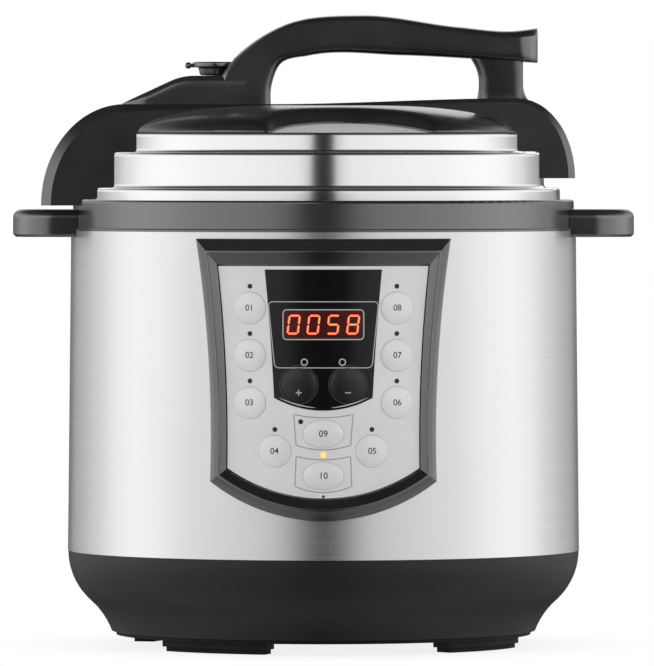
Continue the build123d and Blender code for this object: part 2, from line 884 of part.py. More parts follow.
# Pressure switch under the spring plate
with BuildPart() as pressure_switch:
    with BuildSketch(Plane.XY.offset(spring_plate_top - spring_plate_thickness)):
        with Locations((0, switch_y)):
            Rectangle(switch_width, switch_length)
    extrude(amount=-switch_height)
    chamfer(pressure_switch.edges().group_by(Axis.Z)[0], switch_chamfer)
save(pressure_switch.part, "pressure_switch")

# Thermal fuse strapped under the outer pot
with BuildPart() as thermal_fuse:
    with BuildSketch(Plane.XY.offset(outer_pot_z)):
        with Locations((fuse_x, 0)):
            Rectangle(fuse_strap_width, fuse_length / 2)
    extrude(amount=-fuse_strap_thickness)
    with BuildSketch(Plane.XZ.offset(-fuse_length / 2)):
        with Locations((fuse_x, outer_pot_z - fuse_drop)):
            Circle(fuse_radius)
    extrude(amount=fuse_length)
save(thermal_fuse.part, "thermal_fuse")

# Power board in the base: transformer, relay and capacitor on one board
power_board_z = base_bottom_z + power_board_rise
with BuildPart() as power_board:
    with BuildSketch(Plane.XY.offset(power_board_z)):
        with Locations((0, power_board_y)):
            Rectangle(power_board_length, power_board_width)
        with Locations(*board_post_places):
            Circle(board_screw_radius + screw_gap, mode=Mode.SUBTRACT)
    extrude(amount=board_thickness)
    with BuildSketch(Plane.XY.offset(power_board_z + board_thickness)):
        with Locations((-power_board_length / 4, power_board_y)):
            Rectangle(transformer_length, transformer_width)
    extrude(amount=transformer_height)
    with BuildSketch(Plane.XY.offset(power_board_z + board_thickness)):
        with Locations((power_board_length / 8, power_board_y + power_board_width / 5)):
            Rectangle(relay_length, relay_width)
    extrude(amount=relay_height)
    with BuildSketch(Plane.XY.offset(power_board_z + board_thickness)):
        with Locations((power_board_length / 4, power_board_y - power_board_width / 5)):
            Circle(capacitor_radius)
    extrude(amount=relay_height)
save(power_board.part, "power_board")

with BuildPart() as board_screws:
    with BuildSketch(Plane.XY.offset(power_board_z + board_thickness)):
        with Locations(*board_post_places):
            Circle(2 * board_screw_radius)
    extrude(amount=board_screw_radius)
    with BuildSketch(Plane.XY.offset(power_board_z + board_thickness)):
        with Locations(*board_post_places):
            Circle(board_screw_radius)
    extrude(amount=-(board_thickness + power_board_rise / 2))
save(board_screws.part, "board_screws")

# Cooking pot: the removable bowl
with BuildPart() as inner_pot:
    with BuildSketch(Plane.XZ):
        with BuildLine():
            FilletPolyline(
                (0, pot_z),
                (pot_radius, pot_z),
                (pot_radius, rim_z),
                radius=pot_corner,
            )
            Polyline(
                (pot_radius, rim_z),
                (rim_radius, rim_z),
                (rim_radius, rim_top_z),
                (pot_inner_radius, rim_top_z),
            )
            FilletPolyline(
                (pot_inner_radius, rim_top_z),
                (pot_inner_radius, pot_z + pot_floor),
                (0, pot_z + pot_floor),
                radius=pot_corner - pot_wall,
            )
            Line((0, pot_z + pot_floor), (0, pot_z))
        make_face()
    revolve(axis=Axis.Z)
save(inner_pot.part, "inner_pot")

# Lid: pressed steel in three tiers with a low dome, and lugs inside its skirt
under_dome = tier_3_z - 2 * dome_rise
lid_screw_places = [(sx * lid_screw_x, sy * lid_screw_y) for sx in (-1, 1) for sy in (-1, 1)]
ridge_screw_places = [(ridge_screw_x, -ridge_screw_y), (ridge_screw_x, ridge_screw_y)]
handle_screw_places = ridge_screw_places + [(leg_screw_x, 0), (pillar_screw_x, 0)]
float_place = (valve_x, float_y)
with BuildPart() as lid_shell:
    with BuildSketch(Plane.XZ):
        with BuildLine():
            FilletPolyline(
                (tier_1_radius, skirt_z),
                (tier_1_radius, tier_1_z),
                (tier_2_radius, tier_1_z),
                (tier_2_radius, tier_2_z),
                (tier_3_radius, tier_2_z),
                (tier_3_radius, tier_3_z),
                (dome_radius, tier_3_z),
                radius=tier_round,
            )
            ThreePointArc(
                (dome_radius, tier_3_z),
                (dome_radius / 2, dome_height(dome_radius / 2)),
                (0, dome_z),
            )
            offset(amount=lid_sheet, side=Side.LEFT)
        make_face()
    revolve(axis=Axis.Z)
    with BuildSketch(Plane.XY.offset(skirt_z)):
        for angle in lug_angles:
            add(sector(skirt_inner - lug_reach, skirt_inner + lid_sheet / 2, tooth_half_angle, angle))
    extrude(amount=lug_thickness)
    with BuildSketch(Plane.XY.offset(under_dome)):
        with Locations((valve_x, 0)):
            Circle(pipe_radius + fit_gap)
        with Locations(float_place):
            Circle(float_seat_radius + fit_gap)
        with Locations(*lid_screw_places, *handle_screw_places):
            Circle(lid_screw_radius + fit_gap)
    extrude(amount=4 * dome_rise, mode=Mode.SUBTRACT)
save(lid_shell.part, "lid_shell")

# Lid cover: cap on the dome, bridge with an arm down each side, pillar for the grip
cap_radius = tier_3_radius - cover_edge_inset
cap_top_z = dome_z + cover_thickness
left_arm_z = collar_top_z - left_arm_bottom
right_arm_z = tier_1_z + right_arm_bottom
bridge_end_z = bridge_z + bridge_slope
pillar_z = bridge_z + pillar_height
inner_1 = tier_1_radius + arm_gap
inner_2 = tier_2_radius + arm_gap
inner_3 = tier_3_radius + arm_gap
with BuildPart() as arms:
    with BuildSketch(Plane.XZ):
        with BuildLine():
            EllipticalCenterArc(
                (bridge_left, left_arm_z),
                left_arm_reach + bridge_left,
                bridge_z - left_arm_z,
                start_angle=90,
                arc_size=90,
            )
            Line((bridge_left, bridge_z), (leg_right, bridge_z))
            Spline(
                (leg_right, bridge_z),
                (bridge_right, bridge_end_z),
                tangents=((1, 0), (1, 0)),
            )
            EllipticalCenterArc(
                (bridge_right, right_arm_z),
                right_arm_reach - bridge_right,
                bridge_end_z - right_arm_z,
                start_angle=0,
                arc_size=90,
            )
            Polyline(
                (right_arm_reach, right_arm_z),
                (0, right_arm_z),
                (0, left_arm_z),
                (-left_arm_reach, left_arm_z),
            )
        make_face()
    extrude(amount=left_arm_half_width, both=True)
    with BuildSketch(Plane.XY.offset(left_arm_z)):
        Polygon(
            (-left_arm_reach, -left_arm_half_width),
            (right_arm_reach, -right_arm_half_width),
            (right_arm_reach, right_arm_half_width),
            (-left_arm_reach, left_arm_half_width),
            align=None,
        )
    extrude(amount=bridge_end_z - left_arm_z, mode=Mode.INTERSECT)
    sides = arms.faces().filter_by(lambda face: abs(face.normal_at().Y) > 0.9)
    rims = sides.edges().filter_by(
        lambda edge: edge.geom_type != GeomType.LINE or (edge @ 0.5).Z > bridge_z - 0.01
    )
    fillet(rims, arm_round)
    with BuildSketch(Plane.XZ):
        Polygon(
            (0, left_arm_z),
            (collar_radius + arm_collar_gap, left_arm_z),
            (collar_radius + arm_collar_gap, collar_top_z + arm_step),
            (inner_1, collar_top_z + arm_step),
            (inner_1, tier_1_z + arm_gap),
            (inner_2, tier_1_z + arm_gap),
            (inner_2, tier_2_z + arm_gap),
            (inner_3, tier_2_z + arm_gap),
            (inner_3, tier_3_z),
            (0, tier_3_z),
            align=None,
        )
    revolve(axis=Axis.Z, mode=Mode.SUBTRACT)

with BuildPart() as lid_cover:
    with BuildSketch(Plane.XZ):
        with BuildLine():
            EllipticalCenterArc(
                (cap_radius - cover_shoulder, tier_3_z),
                cover_shoulder,
                cap_top_z - tier_3_z,
                start_angle=0,
                arc_size=90,
            )
            Polyline(
                (cap_radius - cover_shoulder, cap_top_z),
                (0, cap_top_z),
                (0, tier_3_z),
                (cap_radius, tier_3_z),
            )
        make_face()
    revolve(axis=Axis.Z)
    for side in (-1, 1):
        with BuildSketch(Plane.XY.offset(tier_3_z)):
            with Locations((-side * scoop_x, side * cap_radius)):
                Ellipse(scoop_half_length, scoop_depth)
        extrude(amount=cap_top_z - tier_3_z, taper=-scoop_slope, mode=Mode.SUBTRACT)
    add(arms.part)
    with BuildSketch(Plane.XZ):
        with BuildLine():
            ThreePointArc(
                (pillar_left - pillar_foot_flare, bridge_z),
                (pillar_left, bridge_z + pillar_waist),
                (pillar_left - pillar_flare, pillar_z),
            )
            Polyline(
                (pillar_left - pillar_flare, pillar_z),
                (pillar_right, pillar_z),
                (pillar_right, bridge_z + pillar_shoulder),
            )
            TangentArc(
                (pillar_right, bridge_z + pillar_shoulder),
                (pillar_right + pillar_toe, bridge_z),
                tangent=(0, -1),
            )
            Line((pillar_right + pillar_toe, bridge_z), (pillar_right, bridge_z - pillar_toe))
            Polyline(
                (pillar_right, bridge_z - pillar_toe),
                (pillar_left - pillar_foot_flare, bridge_z - pillar_toe),
                (pillar_left - pillar_foot_flare, bridge_z),
            )
        make_face()
    extrude(amount=pillar_half_depth, both=True)
    with BuildSketch(Plane.XZ):
        with BuildLine():
            Polyline(
                (0, dome_z + fit_gap),
                (0, tier_2_z),
                (tier_3_radius + arm_gap / 2, tier_2_z),
                (tier_3_radius + arm_gap / 2, tier_3_z + fit_gap),
                (dome_radius, tier_3_z + fit_gap),
            )
            ThreePointArc(
                (dome_radius, tier_3_z + fit_gap),
                (dome_radius / 2, dome_height(dome_radius / 2) + fit_gap),
                (0, dome_z + fit_gap),
            )
        make_face()
    revolve(axis=Axis.Z, mode=Mode.SUBTRACT)
    with BuildSketch(Plane.XY.offset(under_dome)):
        with Locations((valve_x, 0)):
            Circle(pipe_radius + fit_gap)
        with Locations(float_place):
            Circle(float_well_radius)
        with Locations(*handle_screw_places):
            Circle(lid_screw_radius + fit_gap)
    extrude(amount=pillar_z - under_dome, mode=Mode.SUBTRACT)
    with BuildSketch(Plane.XY.offset(under_dome)):
        with Locations((valve_x, 0)):
            Circle(pipe_flange_radius + fit_gap)
        with Locations(*lid_screw_places):
            Circle(lid_screw_radius + screw_gap)
    extrude(amount=dome_z + fit_gap + pipe_flange_height - under_dome, mode=Mode.SUBTRACT)
save(lid_cover.part, "lid_cover")

# Lid handle: ridge with the valve platform, leg and arched grip in one moulding
with BuildPart() as ridge:
    with BuildSketch(Plane.XZ):
        Polygon(
            (ridge_tip, bridge_z),
            (ridge_break, platform_z),
            (leg_right, platform_z),
            (leg_right, bridge_z),
            align=None,
        )
    extrude(amount=ridge_half_depth, both=True)
    tops = ridge.edges().filter_by(
        lambda edge: abs((edge @ 0.5).Y) > ridge_half_depth - 0.01
        and (edge @ 0.5).Z > bridge_z + 0.01
        and (edge @ 0.5).X < leg_right - 0.01
    )
    fillet(tops, ridge_round)

with BuildPart() as grip:
    with BuildSketch(Plane.XZ):
        with BuildLine():
            Spline(
                (leg_left, platform_z),
                (leg_shoulder_x, bridge_z + leg_shoulder),
                (grip_crown_x, bridge_z + grip_crown),
                (grip_slope_x, bridge_z + grip_slope),
                (grip_dip_x, bridge_z + grip_dip),
                (grip_end, bridge_z + grip_end_top),
            )
            Polyline(
                (grip_end, bridge_z + grip_end_top),
                (grip_end, bridge_z + grip_end_bottom),
                (pillar_right, pillar_z),
            )
            under = Spline(
                (pillar_right, pillar_z),
                (grip_under_x, bridge_z + grip_under),
                (grip_inner_x, bridge_z + grip_inner),
            )
            TangentArc(
                (grip_inner_x, bridge_z + grip_inner),
                (leg_right, bridge_z + leg_inner_height),
                tangent=under % 1,
            )
            Polyline(
                (leg_right, bridge_z + leg_inner_height),
                (leg_right, bridge_z),
                (leg_left, bridge_z),
                (leg_left, platform_z),
            )
        make_face()
    extrude(amount=grip_half_depth, both=True)
    rounded = grip.edges().filter_by(
        lambda edge: abs((edge @ 0.5).Y) > grip_half_depth - 0.01
        and (edge @ 0.5).Z > bridge_z + leg_inner_height + 0.01
        and (edge @ 0.5).X < grip_end - 0.01
    )
    fillet(rounded, grip_round)

with BuildPart() as lid_handle:
    add(ridge.part)
    add(grip.part)
    with BuildSketch(Plane.XY.offset(platform_z)):
        with Locations((valve_x, 0)):
            Circle(valve_disc_radius + valve_pocket_gap)
    extrude(amount=grip_crown, mode=Mode.SUBTRACT)
    with BuildSketch(Plane.XY.offset(bridge_z)):
        with Locations((valve_x, 0)):
            Circle(pipe_radius + fit_gap)
    extrude(amount=ridge_height, mode=Mode.SUBTRACT)
    with BuildSketch(Plane.XY.offset(bridge_z)):
        with Locations(*ridge_screw_places, (leg_screw_x, 0)):
            Circle(lid_screw_radius + screw_gap)
    extrude(amount=handle_screw_bite + slide_gap, mode=Mode.SUBTRACT)
    with BuildSketch(Plane.XY.offset(pillar_z - pillar_screw_relief)):
        with Locations((pillar_screw_x, 0)):
            Circle(lid_screw_radius + screw_gap)
    extrude(amount=handle_screw_bite + slide_gap + pillar_screw_relief, mode=Mode.SUBTRACT)
save(lid_handle.part, "lid_handle")


def under_lid(place, reach):
    """Highest level that clears the lid's inside at a place, for a round piece."""
    radius = sqrt(place[0] ** 2 + place[1] ** 2) + reach
    slope = sqrt(1 + radius**2 / (dome_curve**2 - radius**2))
    return dome_height(radius) - lid_sheet * slope - fit_gap


def make_screws(label, places, tips):
    """Screws put in from inside the lid, heads under the dome."""
    with BuildPart() as screws:
        for place, tip in zip(places, tips):
            seat = under_lid(place, screw_head_radius)
            with BuildSketch(Plane.XY.offset(seat - screw_head_height)):
                with Locations(place):
                    Circle(screw_head_radius)
            extrude(amount=screw_head_height)
            with BuildSketch(Plane.XY.offset(seat)):
                with Locations(place):
                    Circle(lid_screw_radius)
            extrude(amount=tip - seat)
    save(screws.part, label)


make_screws("lid_screws", lid_screw_places, [dome_z + pipe_flange_height] * 4)
make_screws(
    "handle_screws",
    handle_screw_places,
    [bridge_z + handle_screw_bite] * 3 + [pillar_z + handle_screw_bite],
)

# Steam pipe with its nut under the lid
knob_z = platform_z + slide_gap
pipe_top_z = knob_z + pipe_engagement
valve_axis = Axis((valve_x, 0, 0), (0, 0, 1))
nut_top_z = under_lid((valve_x, 0), nut_radius)
nut_z = nut_top_z - nut_height
pipe_flange_z = dome_height(-valve_x - pipe_flange_radius) + fit_gap
with BuildPart() as steam_pipe:
    with BuildSketch(Plane.XZ):
        with Locations((valve_x, 0)):
            Polygon(
                (pipe_bore, nut_z - pipe_tail),
                (pipe_radius, nut_z - pipe_tail),
                (pipe_radius, pipe_flange_z),
                (pipe_flange_radius, pipe_flange_z),
                (pipe_flange_radius, pipe_flange_z + pipe_flange_height),
                (pipe_radius, pipe_flange_z + pipe_flange_height),
                (pipe_radius, pipe_top_z),
                (pipe_bore, pipe_top_z),
                align=None,
            )
    revolve(axis=valve_axis)
save(steam_pipe.part, "steam_pipe")

with BuildPart() as pipe_nut:
    with BuildSketch(Plane.XY.offset(nut_z)):
        with Locations((valve_x, 0)):
            RegularPolygon(nut_radius, 6)
            Circle(pipe_radius + screw_gap, mode=Mode.SUBTRACT)
    extrude(amount=nut_height)
save(pipe_nut.part, "pipe_nut")

# Steam shield: slotted cup over the pipe's lower end
shield_top_z = under_lid((valve_x, 0), shield_radius)
shield_z = nut_z - shield_depth
grip_inner_radius = nut_radius + fit_gap
with BuildPart() as steam_shield:
    with BuildSketch(Plane.XY.offset(shield_z)):
        with Locations((valve_x, 0)):
            Circle(shield_radius)
    extrude(amount=shield_top_z - shield_z)
    fillet(steam_shield.edges().group_by(Axis.Z)[0], shield_wall)
    with BuildSketch(Plane.XY.offset(shield_z + shield_wall)):
        with Locations((valve_x, 0)):
            Circle(shield_radius - shield_wall)
            Circle(grip_inner_radius + shield_grip, mode=Mode.SUBTRACT)
            Circle(grip_inner_radius)
    extrude(amount=shield_top_z - shield_z, mode=Mode.SUBTRACT)
    with BuildSketch(Plane.XY.offset(shield_z + 2 * shield_slot)):
        with Locations((valve_x, 0)):
            with PolarLocations(shield_radius, shield_slot_count):
                Rectangle(2 * (shield_radius - grip_inner_radius - 2 * shield_grip), shield_slot)
    extrude(amount=shield_depth - 3 * shield_slot, mode=Mode.SUBTRACT)
save(steam_shield.part, "steam_shield")

# Valve knob: turns on the pipe's upper end
knob_bore_z = pipe_top_z + slide_gap
disc_z = knob_z + valve_stem_height
disc_top_z = disc_z + valve_disc_thickness
with BuildPart() as valve_knob:
    with BuildSketch(Plane.XZ):
        with Locations((valve_x, 0)):
            Polygon(
                (pipe_radius + slide_gap, knob_z),
                (valve_stem_radius, knob_z),
                (valve_stem_radius, disc_z),
                (valve_disc_radius, disc_z),
                (valve_disc_radius, disc_top_z),
                (0, disc_top_z),
                (0, knob_bore_z),
                (pipe_radius + slide_gap, knob_bore_z),
                align=None,
            )
    revolve(axis=valve_axis)
    with BuildSketch(Plane.XY.offset(disc_z)):
        with Locations((valve_x - valve_lever_reach / 2, 0)):
            Rectangle(valve_lever_reach, valve_lever_width)
        with Locations((valve_x - valve_lever_reach, 0)):
            Circle(valve_lever_tip)
    extrude(amount=valve_disc_thickness)
    fillet(valve_knob.edges().group_by(Axis.Z)[-1], valve_disc_thickness / 4)
save(valve_knob.part, "valve_knob")

# Float valve: bush in the lid, pin that rises with the pressure, silicone gasket
seat_flange_top = under_lid(float_place, float_seat_flange)
seat_flange_z = seat_flange_top - float_flange_height
seat_top_z = dome_height(sqrt(valve_x**2 + float_y**2)) + float_seat_rise
float_axis = Axis((valve_x, float_y, 0), (0, 0, 1))
float_plane = Plane.XZ.offset(-float_y)
with BuildPart() as float_seat:
    with BuildSketch(float_plane):
        with Locations((valve_x, 0)):
            Polygon(
                (float_stem_radius + slide_gap, seat_flange_z),
                (float_seat_flange, seat_flange_z),
                (float_seat_flange, seat_flange_top),
                (float_seat_radius, seat_flange_top),
                (float_seat_radius, seat_top_z),
                (float_stem_radius + slide_gap, seat_top_z),
                align=None,
            )
    revolve(axis=float_axis)
save(float_seat.part, "float_seat")

gasket_top_z = seat_flange_z - slide_gap - float_travel
gasket_z = gasket_top_z - float_gasket_height
float_cap_z = seat_top_z + slide_gap
with BuildPart() as float_pin:
    with BuildSketch(float_plane):
        with Locations((valve_x, 0)):
            Polygon(
                (0, gasket_z - float_flange_height),
                (float_gasket_radius - 1, gasket_z - float_flange_height),
                (float_gasket_radius - 1, gasket_z),
                (float_stem_radius, gasket_z),
                (float_stem_radius, float_cap_z),
                (float_cap_radius, float_cap_z),
                (float_cap_radius, float_cap_z + float_cap_height),
                (0, float_cap_z + float_cap_height),
                align=None,
            )
    revolve(axis=float_axis)
save(float_pin.part, "float_pin")

with BuildPart() as float_gasket:
    with BuildSketch(Plane.XY.offset(gasket_z)):
        with Locations(float_place):
            Circle(float_gasket_radius)
            Circle(float_stem_radius + screw_gap, mode=Mode.SUBTRACT)
    extrude(amount=float_gasket_height)
save(float_gasket.part, "float_gasket")

# Sealing ring: silicone channel, open inwards, that sits on the pot's rim
seal_inner = seal_radius - seal_wall
seal_top_z = seal_z + seal_height
with BuildPart() as sealing_ring:
    with BuildSketch(Plane.XZ):
        Polygon(
            (seal_inner - seal_lip_reach, seal_z),
            (seal_radius, seal_z),
            (seal_radius, seal_top_z),
            (seal_inner - seal_lip_reach, seal_top_z),
            (seal_inner - seal_lip_reach, seal_top_z - seal_lip),
            (seal_inner, seal_top_z - seal_lip),
            (seal_inner, seal_z + seal_lip),
            (seal_inner - seal_lip_reach, seal_z + seal_lip),
            align=None,
        )
    revolve(axis=Axis.Z)
save(sealing_ring.part, "sealing_ring")

# Gasket rack: wire ring that holds the sealing ring, with tabs to the lid
rack_outer = seal_inner - 2 * slide_gap
rack_z = seal_z + seal_height / 2 - rack_height / 2
tab_outer = tier_3_radius - lid_sheet - fit_gap
with BuildPart() as gasket_rack:
    with BuildSketch(Plane.XY.offset(rack_z)):
        Circle(rack_outer)
        Circle(rack_outer - rack_width, mode=Mode.SUBTRACT)
        for angle in tooth_angles:
            add(sector(tab_outer - rack_thickness, rack_outer - rack_width / 2, rack_tab_half_angle, angle))
    extrude(amount=rack_height)
    with BuildSketch(Plane.XY.offset(rack_z)):
        for angle in tooth_angles:
            add(sector(tab_outer - rack_thickness, tab_outer, rack_tab_half_angle, angle))
    extrude(amount=rack_tab_height)
save(gasket_rack.part, "gasket_rack")


def panel_plate(shape, radius, inner_radius):
    """Front outline pushed through a cylinder shell, for the curved panel pieces."""
    with BuildPart() as plate:
        with BuildSketch(Plane.XZ):
            add(shape)
        extrude(amount=2 * bezel_radius)
        with BuildSketch(Plane.XY.offset(base_top_z)):
            Circle(radius)
        extrude(amount=body_height, mode=Mode.INTERSECT)
        with BuildSketch(Plane.XY.offset(base_top_z)):
            Circle(inner_radius)
        extrude(amount=body_height, mode=Mode.SUBTRACT)
    return plate.part


def grown_panel(grow):
    """Outline of the fascia, grown by a gap all round."""
    return panel_outline(
        panel_half_top + grow,
        panel_half_bottom + grow,
        panel_bow,
        panel_top + grow,
        panel_corner_z - grow,
        panel_bottom - grow,
    )


def grown_lens(grow):
    """Outline of the display window, grown by a gap all round."""
    return panel_outline(
        lens_half_top + grow,
        lens_half_bottom + grow,
        lens_bow,
        lens_top + grow,
        lens_corner_z - grow,
        lens_bottom - grow,
    )


def steel_profile():
    """Half section of everything inside the steel's outer face."""
    with BuildSketch(mode=Mode.PRIVATE) as shape:
        Polygon(
            (0, base_top_z),
            (body_bottom_radius, base_top_z),
            (body_top_radius, body_top_z),
            (0, body_top_z),
            align=None,
        )
    return shape.sketch


# Panel carrier: plate on the steel round its window, with posts for the control board
panel_posts = [(sx * panel_post_x, z) for sx in (-1, 1) for z in panel_post_z]
post_front = sqrt(((carrier_radius + body_top_radius) / 2) ** 2 - panel_post_x**2)
stem_places = round_button_places + mode_button_places + round_key_places
with BuildPart() as panel_carrier:
    add(panel_plate(grown_panel(0), carrier_radius, body_top_radius - body_sheet))
    with BuildSketch(Plane.XZ):
        add(steel_profile())
    revolve(axis=Axis.Z, mode=Mode.SUBTRACT)
    with BuildSketch(Plane.XZ.offset(control_board_setback)):
        with Locations(*panel_posts):
            Circle(panel_post_radius)
    extrude(amount=post_front - control_board_setback)
    with BuildSketch(Plane.XZ.offset(control_board_setback)):
        with Locations(*panel_posts):
            Circle(board_screw_radius + screw_gap)
    extrude(amount=(post_front - control_board_setback) / 2, mode=Mode.SUBTRACT)
    with BuildSketch(Plane.XZ):
        with Locations((0, display_z)):
            Rectangle(display_width + 2 * display_play, display_height + 2 * display_play)
    extrude(amount=2 * carrier_radius, mode=Mode.SUBTRACT)
    for x, z in stem_places:
        with BuildSketch(panel_plane(x, z, carrier_radius)):
            Circle(button_stem_radius + slide_gap)
        extrude(amount=2 * carrier_thickness, both=True, mode=Mode.SUBTRACT)
save(panel_carrier.part, "panel_carrier")

# Panel fascia: silver plate with the holes of the buttons, lights and window
with BuildPart() as panel_fascia:
    add(panel_plate(grown_panel(-fit_gap), fascia_radius, carrier_radius))
    with BuildSketch(Plane.XZ):
        add(grown_lens(fit_gap))
    extrude(amount=2 * fascia_radius, mode=Mode.SUBTRACT)
    for x, z in round_button_places:
        with BuildSketch(panel_plane(x, z, fascia_radius)):
            Circle(button_radius + slide_gap)
        extrude(amount=2 * fascia_thickness, both=True, mode=Mode.SUBTRACT)
    for x, z in mode_button_places:
        with BuildSketch(panel_plane(x, z, fascia_radius)):
            Ellipse(mode_button_length / 2 + slide_gap, mode_button_width / 2 + slide_gap)
        extrude(amount=2 * fascia_thickness, both=True, mode=Mode.SUBTRACT)
    for x, z in light_places:
        with BuildSketch(panel_plane(x, z, fascia_radius)):
            Circle(light_radius + screw_gap)
        extrude(amount=2 * fascia_thickness, both=True, mode=Mode.SUBTRACT)
    with BuildSketch(panel_plane(0, ready_light_z, fascia_radius)):
        Circle(ready_light_radius + screw_gap)
    extrude(amount=2 * fascia_thickness, both=True, mode=Mode.SUBTRACT)
save(panel_fascia.part, "panel_fascia")

# Display window: dark lens with the holes of the two round keys
with BuildPart() as display_window:
    add(panel_plate(grown_lens(0), fascia_radius + lens_proud, carrier_radius))
    for x, z in round_key_places:
        with BuildSketch(panel_plane(x, z, fascia_radius)):
            Circle(round_key_radius + slide_gap)
        extrude(amount=2 * fascia_thickness, both=True, mode=Mode.SUBTRACT)
save(display_window.part, "display_window")

# Panel bezel: black frame that stands out round the fascia, bevelled both ways
with BuildPart() as panel_bezel:
    outline = panel_outline(
        bezel_half_top, bezel_half_bottom, bezel_bow, bezel_top, bezel_corner_z, bezel_bottom
    )
    add(panel_plate(outline, bezel_radius, body_top_radius - body_sheet))
    with BuildSketch(Plane.XZ):
        add(steel_profile())
    revolve(axis=Axis.Z, mode=Mode.SUBTRACT)
    with BuildSketch(Plane.XZ):
        add(grown_panel(fit_gap))
    extrude(amount=2 * bezel_radius, mode=Mode.SUBTRACT)
    front = panel_bezel.faces().sort_by(Axis.Y)[0]
    chamfer(front.outer_wire().edges(), bezel_bevel, bezel_bevel_height, reference=front)
    front = panel_bezel.faces().sort_by(Axis.Y)[0]
    chamfer(front.inner_wires()[0].edges(), bezel_inner_bevel)
save(panel_bezel.part, "panel_bezel")


def make_lights(label, places, radius):
    """Light pipes in the fascia."""
    with BuildPart() as lights:
        for x, z in places:
            with BuildSketch(panel_plane(x, z, carrier_radius)):
                Circle(radius)
            extrude(amount=fascia_thickness + light_proud)
    save(lights.part, label)


make_lights("indicator_lights", light_places, light_radius)
make_lights("ready_light", [(0, ready_light_z)], ready_light_radius)

# Buttons slide straight towards the axis and stop on the control board's switches
button_base = carrier_radius + button_travel + slide_gap
button_height = fascia_radius + button_proud - button_base
stem_stop = control_board_setback + tact_height + button_travel + slide_gap


def make_button(label, x, z, shape):
    """Cap in the fascia with a stem through the carrier."""
    across = x / fascia_radius
    along = sqrt(1 - across**2)
    stem_end = (stem_stop + button_stem_radius * abs(across)) / along
    base = panel_plane(x, z, button_base)
    with BuildPart() as button:
        with BuildSketch(base):
            add(shape)
        extrude(amount=button_height)
        outer = button.faces().sort_by(Axis(base.origin, base.z_dir))[-1]
        fillet(outer.edges(), button_round)
        with BuildSketch(base):
            Circle(button_stem_radius)
        extrude(amount=stem_end - button_base)
    save(button.part, label)


with BuildSketch() as round_shape:
    Circle(button_radius)
with BuildSketch() as mode_shape:
    Ellipse(mode_button_length / 2, mode_button_width / 2)
with BuildSketch() as key_shape:
    Circle(round_key_radius)
for number, (x, z) in enumerate(round_button_places, 1):
    make_button(f"menu_button_{number}", x, z, round_shape.sketch)
make_button("mode_button_upper", 0, mode_button_upper_z, mode_shape.sketch)
make_button("mode_button_lower", 0, mode_button_lower_z, mode_shape.sketch)
make_button("plus_button", -round_key_x, round_key_z, key_shape.sketch)
make_button("minus_button", round_key_x, round_key_z, key_shape.sketch)

# Control board behind the panel, with one switch behind each button
board_middle = sum(panel_post_z) / len(panel_post_z)
tact_places = [
    (x / sqrt(fascia_radius**2 - x**2) * control_board_setback, z) for x, z in stem_places
]
with BuildPart() as control_board:
    with BuildSketch(Plane.XZ.offset(control_board_setback)):
        with Locations((0, board_middle)):
            Rectangle(control_board_width, control_board_height)
        with Locations(*panel_posts):
            Circle(board_screw_radius + screw_gap, mode=Mode.SUBTRACT)
    extrude(amount=-board_thickness)
    with BuildSketch(Plane.XZ.offset(control_board_setback)):
        with Locations(*tact_places):
            Rectangle(tact_size, tact_size)
    extrude(amount=tact_height)
save(control_board.part, "control_board")

with BuildPart() as control_screws:
    with BuildSketch(Plane.XZ.offset(control_board_setback - board_thickness)):
        with Locations(*panel_posts):
            Circle(2 * board_screw_radius)
    extrude(amount=-board_screw_radius)
    with BuildSketch(Plane.XZ.offset(control_board_setback - board_thickness)):
        with Locations(*panel_posts):
            Circle(board_screw_radius)
    extrude(amount=board_thickness + (post_front - control_board_setback) / 2 - slide_gap)
save(control_screws.part, "control_screws")

# Display module: the block of digits between the board and the window
module_front = sqrt((carrier_radius - display_play) ** 2 - display_width**2 / 4)
with BuildPart() as display_module:
    with BuildSketch(Plane.XZ.offset(control_board_setback)):
        with Locations((0, display_z)):
            Rectangle(display_width, display_height)
    extrude(amount=module_front - control_board_setback)
save(display_module.part, "display_module")

# Mains inlet at the back of the base, with three pins in its socket
with BuildPart() as power_inlet:
    with BuildSketch(Plane.XZ.offset(-inlet_face)):
        with Locations((0, inlet_z)):
            Rectangle(inlet_width, inlet_height)
    extrude(amount=inlet_depth)
    with BuildSketch(Plane.XZ.offset(-inlet_face)):
        with Locations((0, inlet_z)):
            RectangleRounded(
                inlet_width + 2 * inlet_flange, inlet_height + 2 * inlet_flange, inlet_flange
            )
    extrude(amount=-inlet_flange_thickness)
    with BuildSketch(Plane.XZ.offset(-inlet_face - inlet_flange_thickness)):
        with Locations((0, inlet_z)):
            RectangleRounded(socket_width, socket_height, socket_corner)
    extrude(amount=socket_depth, mode=Mode.SUBTRACT)
    with BuildSketch(Plane.XZ.offset(-inlet_face - inlet_flange_thickness + socket_depth)):
        with Locations(
            (-socket_pin_pitch, inlet_z - socket_pin_height / 2),
            (0, inlet_z + socket_pin_height / 2),
            (socket_pin_pitch, inlet_z - socket_pin_height / 2),
        ):
            Rectangle(socket_pin_width, socket_pin_height)
    extrude(amount=-socket_pin_length)
save(power_inlet.part, "power_inlet")

# Condensation cup at the back, hung by two flanges in the rails of its bracket
plate_z = body_top_z - bracket_drop - bracket_thickness
cup_top_z = plate_z - cup_drop
cup_z = cup_top_z - cup_height
cup_face = body_radius(cup_z) + 2 * slide_gap
flange_half = cup_half_width + cup_flange
rail_inner = flange_half + slide_gap
rail_outer = rail_inner + bracket_thickness
rail_back = cup_back - cup_flange


